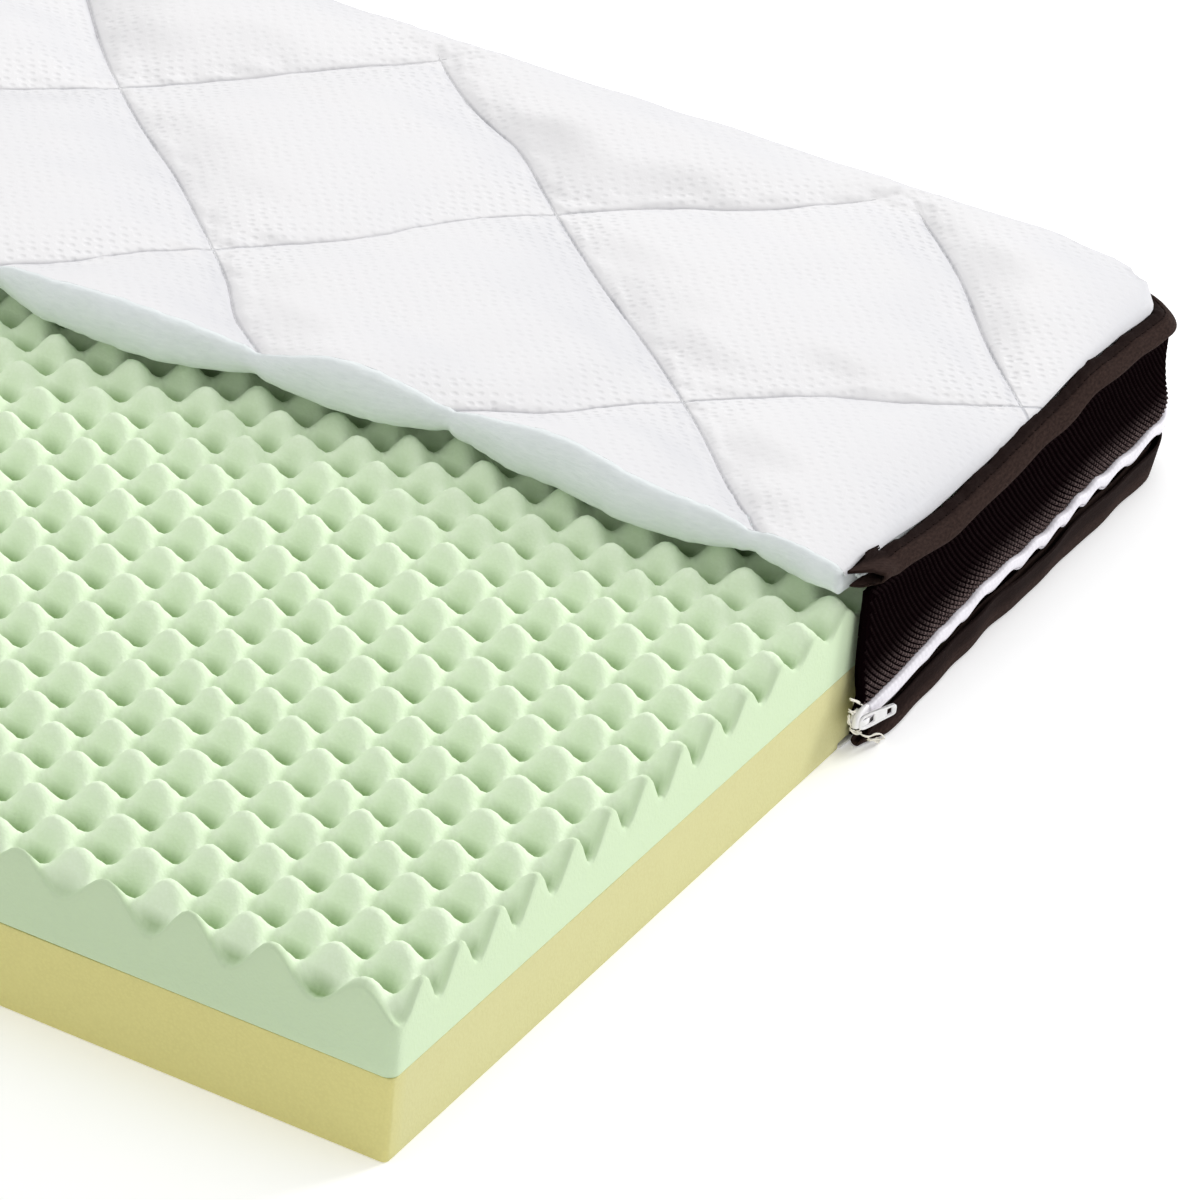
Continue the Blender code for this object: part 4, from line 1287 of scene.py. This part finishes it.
TORN_BINDING = (
    TornEnd(share=0.00, reach=-22, inward=1.0, lift=1.0),
    TornEnd(share=0.08, reach=-12, inward=2.0, lift=2.8),
    TornEnd(share=0.16, reach=-8, inward=2.2, lift=2.4),
    TornEnd(share=0.28, reach=6, inward=4.5, lift=4.0),
    TornEnd(share=0.42, reach=-3, inward=1.0, lift=4.0),
    TornEnd(share=0.55, reach=-9, inward=0, lift=3.0),
    TornEnd(share=0.72, reach=-8, inward=0, lift=2.5),
    TornEnd(share=0.86, reach=3, inward=1.5, lift=3.5),
    TornEnd(share=1.00, reach=5, inward=1.0, lift=3.0),
)
TORN_RUN = 26 * MM


def tear_ends(obj, rows):
    """Pull both free ends of a strip into the ragged outline of a table."""
    mesh = obj.data
    points = points_of(mesh)
    weave = np.empty(points.size)
    mesh.attributes["weave"].data.foreach_get("vector", weave)
    weave = weave.reshape(-1, 3)
    from_end = np.minimum(weave[:, 0], BORDER_LENGTH - weave[:, 0]) + FREE_END
    share = smoothstep(1 - from_end / TORN_RUN)
    points[:, 0] -= read_table(rows, "reach", weave[:, 2]) * MM * share
    points[:, 1] -= np.sign(points[:, 1]) * read_table(rows, "inward", weave[:, 2]) * MM * share
    points[:, 2] += read_table(rows, "lift", weave[:, 2]) * MM * share
    mesh.vertices.foreach_set("co", points.reshape(-1))


def puckers(along, across, reach, seed):
    """Slanted folds beside a line of sewing, about 1 at their deepest."""
    wave = unevenness(along + 0.8 * across, 0.5 * across, PUCKER_PITCH, seed)
    return wave * np.exp(-(across / reach) ** 2)


BINDING_POINTS = 28             # round the section of a binding
BINDING_GIRTH = 24 * MM
PUCKER_DEPTH = 0.26             # in mm, as is the softness
SOFTNESS = 0.3

along = top_along = stations(-FREE_END, 1.8 * MM)
seam = section("seam", along)
line = smooth_curve(profile(*[(out, seam + up) for out, up in TOP_BINDING_LINE]), BINDING_POINTS)
across = np.linspace(0, 1, BINDING_POINTS)[None, :] * BINDING_GIRTH
fold = puckers(along[:, None], across, 7.5 * MM, seed=41)
soft = unevenness(along[:, None], across, 26 * MM, seed=42)
line = top_line = line + normals_of(line) * (PUCKER_DEPTH * fold + SOFTNESS * soft)[..., None]
top_binding = strip("binding_top", along, line, BINDING_THICKNESS, brown_binding)
tear_ends(top_binding, TORN_BINDING)
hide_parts("top_binding")
report(top_binding)

# %% [markdown]
# ## The side band
#
# The band hangs from the upper seam, falls back a little and comes out again over the zip. It is
# a spacer mesh 2.6 mm thick. A plain strip gives its body.

# %% Side band
BAND_THICKNESS = 2.6            # mm, as the profiles are in mm
BAND_FREE = 4.5 * MM            # the band sticks out past the cut a little
BAND_ROWS = 22
BAND_HEIGHT = 45 * MM           # about, from seam to zip


def band_line(along, rows):
    """The face of the band from top to bottom, (stations, rows, 2) in mm."""
    seam, coil = section("seam", along), section("zip", along)
    top, bottom = seam - 1.8, coil + 1.8
    rise = top - bottom
    control = profile((6.3, bottom), (7.6, bottom + 0.14 * rise), (5.6, bottom + 0.35 * rise),
                      (4.7, bottom + 0.65 * rise), (5.0, top))
    line = smooth_curve(control, rows)[:, ::-1]
    share = np.linspace(0, 1, rows)[None, :]
    soft = unevenness(along[:, None], share * BAND_HEIGHT, 55 * MM, seed=51)
    return line + normals_of(line) * (0.5 * soft * np.sin(pi * share))[..., None]


along = stations(-BAND_FREE, 2.4 * MM)
side_band = strip("side_band", along, band_line(along, BAND_ROWS), BAND_THICKNESS, dark_mesh)
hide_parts("border_mesh")
report(side_band)

# %% [markdown]
# ### Ribs of the mesh
#
# The ribs are rows of yarn on the face of the mesh, one every 3.2 mm. That is a job for Geometry
# Nodes: the script hands the tree one thin line for each rib, and the tree gives every line a
# round section and joins them in one mesh.

# %% Helpers for node trees
def geometry_tree(name, inputs):
    """An empty Geometry Nodes tree with named inputs, given as (name, socket type, value)."""
    tree = bpy.data.node_groups.new(name, "GeometryNodeTree")
    tree.interface.new_socket("Geometry", in_out="INPUT", socket_type="NodeSocketGeometry")
    for label, kind, value in inputs:
        socket = tree.interface.new_socket(label, in_out="INPUT", socket_type=kind)
        socket.default_value = value
    tree.interface.new_socket("Geometry", in_out="OUTPUT", socket_type="NodeSocketGeometry")
    return tree


def close_tree(tree, geometry, material):
    """End a tree: real geometry, one material, smooth faces."""
    real = add_node(tree, "GeometryNodeRealizeInstances", {0: geometry})
    smooth = add_node(tree, "GeometryNodeSetShadeSmooth", {0: real})
    finish = add_node(tree, "GeometryNodeSetMaterial",
                      {"Geometry": smooth, "Material": material})
    add_node(tree, "NodeGroupOutput", {0: finish})


def grow(name, points, edges, tree, values, weave=None, painted_lit_share=None):
    """Run a tree on loose points and edges, and keep the result as a plain mesh."""
    mesh = bpy.data.meshes.new(name)
    mesh.from_pydata(points.reshape(-1, 3).tolist(), edges, [])
    if weave is not None:
        store_weave(mesh, weave)
        # how much of the lighter yarn shows; the rest is painted shade
        store(mesh, "painted_lit_share", painted_lit_share)
    obj = new_object(name, mesh)
    modifier = obj.modifiers.new(tree.name, "NODES")
    modifier.node_group = tree
    for item in tree.interface.items_tree:
        if item.item_type == "SOCKET" and item.in_out == "INPUT" and item.name in values:
            modifier[item.identifier] = values[item.name]
    return bake_modifiers(obj)


def line_edges(lines, points):
    """Edges that join `points` numbers in a row, for each of `lines` rows."""
    index = np.arange(lines * points).reshape(lines, points)
    return np.stack((index[:, :-1], index[:, 1:]), axis=-1).reshape(-1, 2).tolist()


# %% Ribs
def strand_tree(name, material, sides):
    tree = geometry_tree(name, [("Radius", "NodeSocketFloat", 0.5 * MM)])
    given = add_node(tree, "NodeGroupInput")
    path = add_node(tree, "GeometryNodeMeshToCurve", {"Mesh": given.outputs["Geometry"]})
    ring = add_node(tree, "GeometryNodeCurvePrimitiveCircle",
                    {"Resolution": sides, "Radius": given.outputs["Radius"]})
    tube = add_node(tree, "GeometryNodeCurveToMesh",
                    {"Curve": path, "Profile Curve": ring, "Fill Caps": True})
    close_tree(tree, tube, material)
    return tree


RIB_POINTS = 15
RIB_RADIUS = 0.7 * MM
RIB_LEAN = 52 * MM              # the foot of a rib lies this far along from its head
RIB_BOW = 0.85                  # under 1, a rib leans most near its head
RIB_SINK = 0.05                 # mm into the band's face
RIB_INSET = 0.6 * MM            # from the band's cut ends

heads = np.arange(-RIB_LEAN - BAND_FREE, BORDER_LENGTH + BAND_FREE, RIB_PITCH)
along = heads[:, None] + RIB_LEAN * np.linspace(0, 1, RIB_POINTS) ** RIB_BOW
first, last = RIB_INSET - BAND_FREE, BORDER_LENGTH + BAND_FREE - RIB_INSET
inside = (along > first) & (along < last)
along = np.clip(along, first, last)
faces = [band_line(column, RIB_POINTS) for column in along.T]
face = np.stack([(line - normals_of(line) * RIB_SINK)[:, k] for k, line in enumerate(faces)], axis=1)
ribs = on_border(along, face)
# Painted shade: the upper part of a rib is kept dark, as under the top binding; only the lower part
# shows its lighter yarn.
painted_lit_share = mix(0.05, 1.0, smoothstep((np.arange(RIB_POINTS) / RIB_POINTS - 0.45) / 0.3))
painted_lit_share = np.repeat(painted_lit_share[None, :], len(heads), axis=0)
weave = np.stack((along, face[..., 1] * MM, 0 * along), axis=-1)
inside = inside.ravel()
edges = [pair for pair in line_edges(len(heads), RIB_POINTS) if inside[pair].all()]
rib_tree = strand_tree("mesh ribs", dark_mesh, sides=5)
band_ribs = grow("side_band_ribs", ribs, edges, rib_tree, {"Radius": RIB_RADIUS}, weave,
                 painted_lit_share)
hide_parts("border_mesh")
report(band_ribs)

# %% [markdown]
# ## The zip
#
# The zip's tape lies behind the band and the lower strip; only its stub past the cut shows. The
# coil's back is a smooth white band whose lower edge wanders, because the tape was stretched
# as it was sewn.

# %% Zip tape
TAPE_HALF = 5.5
TAPE_THICKNESS = 0.8
TAPE_FREE = 3 * MM
along = stations(-TAPE_FREE, 3 * MM)
middle = section("zip", along)
control = profile(*[(4.3, middle - k * TAPE_HALF) for k in (-1, -0.5, 0, 0.5, 1)])
zip_tape = strip("zip_tape_cloth", along, smooth_curve(control, 9), TAPE_THICKNESS, cream_tape)
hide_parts("zip_tape")
report(zip_tape)

# %% Face of the zip
ZIP_HUMP = 22 * MM              # length of one wave where the zip is slack

along = stations(-0.3 * MM, 1.5 * MM)
middle = section("zip", along)
from_cut = np.minimum(along, BORDER_LENGTH - along)
loose = smoothstep(from_cut / (150 * MM))
slip = 5 * MM * unevenness(along, along * 0, 60 * MM, seed=63)
hump = np.sin(tau * (along + slip) / ZIP_HUMP)
wander = mix(0.5 * unevenness(along, along * 0, 30 * MM, seed=61), 1.4 * hump, loose)
drift = mix(0.5 * unevenness(along, along * 0, 40 * MM, seed=62), 0.8 * hump, loose)
middle = middle + drift * smoothstep(from_cut / (40 * MM))
half = mix(1.0, 0.8, loose)     # a slack face is narrower
control = profile((6.8, middle + 3.9 * half), (9.0, middle + 3.8 * half),
                  (9.8, middle + 1.4 * half), (9.4, middle - 1.2 * half),
                  (8.3, middle - 2.8 * half + wander), (6.6, middle - 3.1 * half + wander))
zip_band = strip("zip_coil_back", along, smooth_curve(control, 16), 1.2, zip_face)
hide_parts("zip_coil")
report(zip_band)

# %% [markdown]
# ## The strip below the zip and the bottom binding
#
# Below the zip a narrow strip of the same mesh leads to the lower seam, which is bound like the
# upper one. That roll flares outwards and stands on the floor.

# %% Lower strip
along = stations(1 * MM, 2.4 * MM)
middle = section("zip", along)
control = profile((7.6, middle - 3.9), (5.6, middle - 6.2), (3.4, middle - 9),
                  (3.0, np.maximum(middle - 12.5, 4.8)))
lower_strip = strip("lower_strip", along, smooth_curve(control, 12), 1.4, dark_mesh)
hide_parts("border_lower")
report(lower_strip)

# %% Bottom binding
ROLL_HALF = 2.3


def folded_roll(top, bottom, half, count):
    """U-shaped lines round the axis from top to bottom (stations, 2), open at the top inside."""
    axis = bottom - top
    axis /= np.linalg.norm(axis, axis=-1, keepdims=True)
    outer = np.stack((-axis[:, 1], axis[:, 0]), axis=-1)
    points = [top + outer * half - axis * 1.6, top + outer * half + axis * 1.5,
              bottom + outer * half - axis * 1.0]
    for k in range(1, 6):
        angle = pi / 2 - pi * k / 6
        points.append(bottom + outer * half * sin(angle) + axis * half * cos(angle))
    points += [bottom - outer * half - axis * 1.0, top - outer * half + axis * 1.0]
    return smooth_curve(np.stack(points, axis=1), count)


along = stations(2 * MM, 2.5 * MM)
coil, foot = section("zip", along), section("foot", along)
top = np.stack((6.6 + 0 * coil, coil - 9.3), -1)
bottom = np.stack((foot - ROLL_HALF, ROLL_HALF + 0 * coil), -1)
line = folded_roll(top, bottom, ROLL_HALF, BINDING_POINTS)
across = np.linspace(0, 1, BINDING_POINTS)[None, :] * BINDING_GIRTH
soft = unevenness(along[:, None], across, 34 * MM, seed=72)
line = line + normals_of(line) * (SOFTNESS * soft)[..., None]
line[..., 1] = np.maximum(line[..., 1], 0.0)
bottom_binding = strip("binding_bottom", along, line, BINDING_THICKNESS, brown_binding)
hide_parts("bottom_binding")
report(bottom_binding)

# %% [markdown]
# ## Slider and pull
#
# Both are small zinc castings with rounded edges. The slider is a shield-shaped body with a back
# plate, and the coil runs between the two. The pull hangs in a bridge on the body. A plate is an
# outline that is filled, thickened and rounded, which is just what a flat curve with a bevel does;
# where two plates touch they sink into each other a little.

# %% Plates for castings
def plate(outlines, thickness, rounding, place):
    """Points and faces of a plate with rounded edges; the first outline is its rim, in mm."""
    curve = bpy.data.curves.new("plate", "CURVE")
    curve.dimensions = "2D"
    curve.fill_mode = "BOTH"
    curve.extrude = (thickness / 2 - rounding) * MM
    curve.bevel_depth = rounding * MM
    curve.bevel_resolution = 2
    curve.offset = -rounding * MM
    for outline in outlines:
        spline = curve.splines.new("POLY")
        spline.points.add(len(outline) - 1)
        spline.use_cyclic_u = True
        for point, (x, y) in zip(spline.points, outline):
            point.co = (x * MM, y * MM, 0, 1)
    obj = new_object("plate", curve)
    mesh = evaluated_mesh(obj)
    mesh.transform(place)
    bpy.data.objects.remove(obj, do_unlink=True)
    return mesh


def casting(name, plates, material):
    """One object from several plates, welded and smooth except at sharp turns."""
    bm = bmesh.new()
    for mesh in plates:
        bm.from_mesh(mesh)
        bpy.data.meshes.remove(mesh)
    bmesh.ops.remove_doubles(bm, verts=bm.verts, dist=0.002 * MM)
    bmesh.ops.recalc_face_normals(bm, faces=bm.faces)
    mesh = bpy.data.meshes.new(name)
    bm.to_mesh(mesh)
    bm.free()
    mesh.materials.clear()
    mesh.materials.append(material)
    mesh.shade_smooth()
    mesh.set_sharp_from_angle(angle=radians(50))
    return new_object(name, mesh)


def rounded(corners, per_corner=5):
    """A closed smooth outline through corner points."""
    ring = np.array([*corners[-2:], *corners, *corners[:2]], float)
    line = smooth_curve(ring, (len(ring) - 1) * per_corner + 1)
    return line[2 * per_corner:-2 * per_corner + per_corner - 1]


def facing(origin, along, up):
    """A frame whose X runs along the border, Y up and Z out from the side."""
    across = (up - up.dot(along) * along).normalized()
    return (Matrix.Translation(origin)
            @ Matrix((along, across, along.cross(across))).transposed().to_4x4())


# %% Slider
SLIDER_PLACE = Vector((CUT_X - 4.6 * MM, -LENGTH / 2 - 7.3 * MM, BORDER_RUN[0].zip * MM + 0.6 * MM))
SHIELD = rounded(((-5.4, 0.2), (-4.7, -2.0), (-2.2, -3.1), (2.2, -3.2), (4.7, -2.9), (5.2, 0.6),
                  (4.8, 4.0), (2.4, 4.4), (-1.8, 3.9), (-4.6, 2.5)))
BRIDGE = rounded(((-3.4, 0.9), (-3.2, 2.2), (-2.0, 3.2), (0.2, 3.6), (2.4, 3.4), (3.4, 2.5),
                  (3.3, 0.9), (2.4, 0.9), (2.3, 2.0), (1.2, 2.6), (-1.0, 2.4), (-1.9, 1.8),
                  (-2.2, 0.9)), 3)
front = facing(SLIDER_PLACE, Vector((1, 0, 0)), Vector((0, 0, 1)))
stand_up = Matrix.Rotation(pi / 2, 4, "X")      # its outline then runs outwards instead of up
slider = casting("zip_slider_body", [
    plate([SHIELD], 2.5, 1.0, front @ Matrix.Translation((0, 0, 0.5 * MM))),
    plate([SHIELD * 0.9], 1.2, 0.5, front @ Matrix.Translation((0, 0, -1.1 * MM))),
    plate([BRIDGE], 2.3, 0.4, front @ Matrix.Translation((0, -0.4 * MM, 0)) @ stand_up),
], white_enamel)
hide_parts("zip_slider")
report(slider)

# %% Pull
PULL_TURN = radians(18)
PULL_RISE = 0.02
PULL_OUTLINE = rounded(((-3.4, 0), (-2.8, -2.2), (-0.4, -3.1), (4.2, -3.0), (9.0, -2.6),
                        (13.8, -2.3), (15.5, -1.8), (15.9, 0), (15.5, 1.8), (13.8, 2.3), (9.0, 2.6),
                        (4.2, 3.0), (-0.4, 3.0), (-2.8, 2.2)))
PULL_SLOT = rounded(((-1.8, 0), (-1.6, 2.1), (4.2, 2.1), (4.6, 0), (4.2, -1.5), (-1.6, -1.5)), 3)
PULL_HOLE = ((11.2, -1.4), (14.0, -1.4), (14.0, 1.4), (11.2, 1.4))
along = Vector((cos(PULL_TURN), -sin(PULL_TURN), PULL_RISE)).normalized()
hung = facing(SLIDER_PLACE - Vector((0, 2.6 * MM, 0.5 * MM)), along, Vector((0, 0, 1)))
rim = PULL_OUTLINE * (0.9, 0.7) + (0.85, 0)
pull = casting("zip_pull_tab", [
    plate([PULL_OUTLINE, PULL_SLOT, PULL_HOLE], 1.0, 0.3, hung),
    plate([PULL_OUTLINE, rim], 1.5, 0.28, hung),
], white_enamel)
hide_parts("zip_pull")
report(pull)

# %% [markdown]
# ## Sewing thread and frayed ends
#
# Thread is round and thin, so the same Geometry Nodes tree that made the ribs makes all of it: the
# script hands it short lines, one for a stitch. White stitches lie in the quilting lines and brown
# ones along the fold of the top binding. Where the cover is cut, the zip's tape frays into
# loose cream threads. Only the two cut ends need those, so a table lists them.

# %% Stitches in the quilting lines
STITCH_STEP = 1.0 * MM
STITCH_RADIUS = 0.24 * MM
PER_STITCH = 4


def quilting_line(number, crossing):
    """Points along one line of the lattice; `crossing` swaps p and q."""
    lattice_unit = hypot(QUILT_X, QUILT_Y) / 2
    run = np.arange(-6, 7, STITCH_STEP / lattice_unit)
    level = np.full_like(run, float(number))
    p, q = (run, level) if crossing else (level, run)
    x, y = lattice_place(p, q)
    points = knit_points(x, y, p, q)
    phase = np.arange(len(run)) % PER_STITCH
    points[:, 2] += np.where((phase == 0) | (phase == PER_STITCH - 1), -0.2, 0.12) * MM
    sewn = ((x > TOP_CUT_X + 1 * MM) & (x < FAR_X - LONG_SHOULDER - 14 * MM)
            & (np.abs(y) < LENGTH / 2 - PANEL_EDGE - 5 * MM))
    return points, sewn & (phase < PER_STITCH - 1) & np.roll(sewn, -1)


parts, edges, count = [], [], 0
for crossing in (False, True):
    for number in range(-6, 7):
        points, stitched = quilting_line(number, crossing)
        starts = np.flatnonzero(stitched) + count
        edges += np.stack((starts, starts + 1), axis=-1).tolist()
        parts.append(points)
        count += len(points)
white_tree = strand_tree("quilting thread", white_thread, sides=5)
stitches = grow("quilting_stitches", np.concatenate(parts), edges, white_tree,
                {"Radius": STITCH_RADIUS})
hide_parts("cover_top")
report(stitches)

# %% Stitches along the top binding
SEAM_ROW = 8                    # the point of the binding's section that the stitches lie on

points = on_border(top_along, (top_line + 0.1 * normals_of(top_line))[:, SEAM_ROW])
starts = np.flatnonzero((np.arange(len(top_along) - 1) % 3 < 2)
                        & (top_along[:-1] > 9 * MM) & (top_along[1:] < BORDER_LENGTH - 9 * MM))
brown_tree = strand_tree("binding thread", brown_binding, sides=5)
binding_stitches = grow("binding_stitches", points, np.stack((starts, starts + 1), -1).tolist(),
                        brown_tree, {"Radius": 0.3 * MM})
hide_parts("top_binding")
report(binding_stitches)


# %% Frayed threads
class Thread(NamedTuple):
    """A bundle of loose threads: (past the cut, out from the side, height) in mm, root first."""
    count: int
    spread: float
    route: tuple


THREADS = (
    Thread(5, 0.7, ((-4, 5.6, 16), (1, 6.6, 20), (6, 6.4, 24), (11.9, 6, 27.9))),
    Thread(4, 0.8, ((2, 5.8, 17), (6, 6.3, 19.6), (9, 6.3, 20.6), (11.5, 6, 22.8))),
    Thread(5, 0.8, ((2, 6.0, 12), (7, 6.5, 14.2), (10.8, 6.3, 17.4), (11.2, 6, 20.4))),
    Thread(5, 0.9, ((0, 6.4, 8.5), (4.5, 7.2, 9.6), (7.4, 7, 12.2), (9.8, 6.8, 14.5))),
    Thread(3, 0.3, ((6, 7.6, 12), (4, 9.8, 9.8), (-0.7, 10.2, 7), (-4.2, 10.6, 6.6), (-8.8, 11, 4.4),
                    (-10.9, 11.2, 2.6), (-12.2, 11.2, 1))),
    Thread(6, 0.9, ((-1, 10, 5.2), (-4, 10.2, 4), (-8, 10.4, 2.4), (-11, 10.6, 1.2))),
)
TUFT = (                        # batting that pokes out of the torn top binding
    Thread(22, 0.9, ((-10, 1.0, 73.4), (-4, 0.8, 74.4), (1, 0.2, 75), (4.5, -0.4, 75))),
)
THREAD_POINTS = 14


def loose_threads(name, rows, seed, material, radius):
    """The threads of a table at both cut ends, each strayed a little from its bundle."""
    draw = np.random.default_rng(seed)
    lines = []
    for row in rows:
        for _ in range(row.count):
            route = np.array(row.route) + draw.normal(0, row.spread * 0.45, (len(row.route), 3))
            route[:, 2] = np.maximum(route[:, 2], 0.4)
            lines.append(smooth_curve(route, THREAD_POINTS))
    lines = np.array(lines)
    near_end = np.stack((CUT_X - lines[..., 0] * MM, -LENGTH / 2 - lines[..., 1] * MM,
                         lines[..., 2] * MM), axis=-1)
    both = np.concatenate((near_end, near_end * (1, -1, 1)))
    tree = strand_tree(name, material, sides=6)
    return grow(name, both, line_edges(len(both), THREAD_POINTS), tree, {"Radius": radius})


frayed = loose_threads("frayed_threads", THREADS, 81, cream_tape, 0.28 * MM)
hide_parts("zip_tape")
report(frayed)

tuft = loose_threads("batting_tuft", TUFT, 82, batting_fibre, 0.55 * MM)
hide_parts("cover_top")
report(tuft)

# %% [markdown]
# ## Floor, light and camera
#
# A pale floor and a white surround give the bright, even light of a product photo. One large soft
# lamp stands low at the far right and gives the bumps their shading, and a weak one hangs overhead.

# %% Floor
FLOOR_HALF = 6.0
floor_points = np.array([(-1, -1, 0), (1, -1, 0), (1, 1, 0), (-1, 1, 0)], float) * FLOOR_HALF
matt_floor = grained_material("matt white studio floor", "FAFAFA", "FDFDFD", 1 / 3, 0, detail=2,
                              noise_roughness=0.5, Roughness=0.95, Specular_IOR_Level=0.1,
                              Emission_Color=(1, 1, 1, 1), Emission_Strength=0.22)
floor = mesh_object("floor", floor_points, [(0, 1, 2, 3)], matt_floor)
floor.data.transform(Matrix.Translation((0, 0, -0.2 * MM)))


# %% Light
def area_lamp(name, place, target, size, watts):
    """A round soft lamp that points at a target."""
    lamp = bpy.data.lights.new(name, "AREA")
    lamp.shape = "DISK"
    lamp.size = size
    lamp.energy = watts
    obj = new_object(name, lamp)
    obj.location = place
    obj.rotation_euler = (Vector(target) - Vector(place)).to_track_quat("-Z", "Y").to_euler()


area_lamp("key_lamp", place=(4.3, -2.6, 2.1), target=(0.0, -0.3, 0.05), size=1.5, watts=150)
area_lamp("overhead_lamp", place=(0.2, 0.1, 2.4), target=(0, 0, 0), size=3.2, watts=18)
world = bpy.data.worlds.new("white surround")
world.use_nodes = True
background = world.node_tree.nodes["Background"]
background.inputs["Color"].default_value = (1, 1, 1, 1)
# The surround is a little darker on the side of the bare foam.
way = add_node(world.node_tree, "ShaderNodeTexCoord")
apart = add_node(world.node_tree, "ShaderNodeSeparateXYZ", {0: way.outputs["Generated"]})
level = add_node(world.node_tree, "ShaderNodeMapRange",
                 {"Value": apart.outputs["X"], "From Min": -1.0, "From Max": 0.2,
                  "To Min": 0.52, "To Max": 0.68})
world.node_tree.links.new(level.outputs["Result"], background.inputs["Strength"])
bpy.context.scene.world = world
bpy.context.scene.view_settings.view_transform = "Standard"

# %% Camera
CAMERA_PLACE = Vector((-1.6906, -1.3513, 1.1406))
CAMERA_FORWARD = Vector((0.7734, 0.3860, -0.5029)).normalized()
CAMERA_RIGHT = Vector((0.4898, -0.8674, 0.0874)).normalized()
CAMERA_LENS = 177.26            # mm, on a sensor 36 mm wide

camera = new_object("camera", bpy.data.cameras.new("camera"))
camera.data.lens = CAMERA_LENS
camera.data.sensor_width = 36
camera.data.clip_end = 20
camera_up = CAMERA_RIGHT.cross(CAMERA_FORWARD)
turn = Matrix((CAMERA_RIGHT, camera_up, -CAMERA_FORWARD)).transposed().to_4x4()
camera.matrix_world = Matrix.Translation(CAMERA_PLACE) @ turn
bpy.context.scene.camera = camera
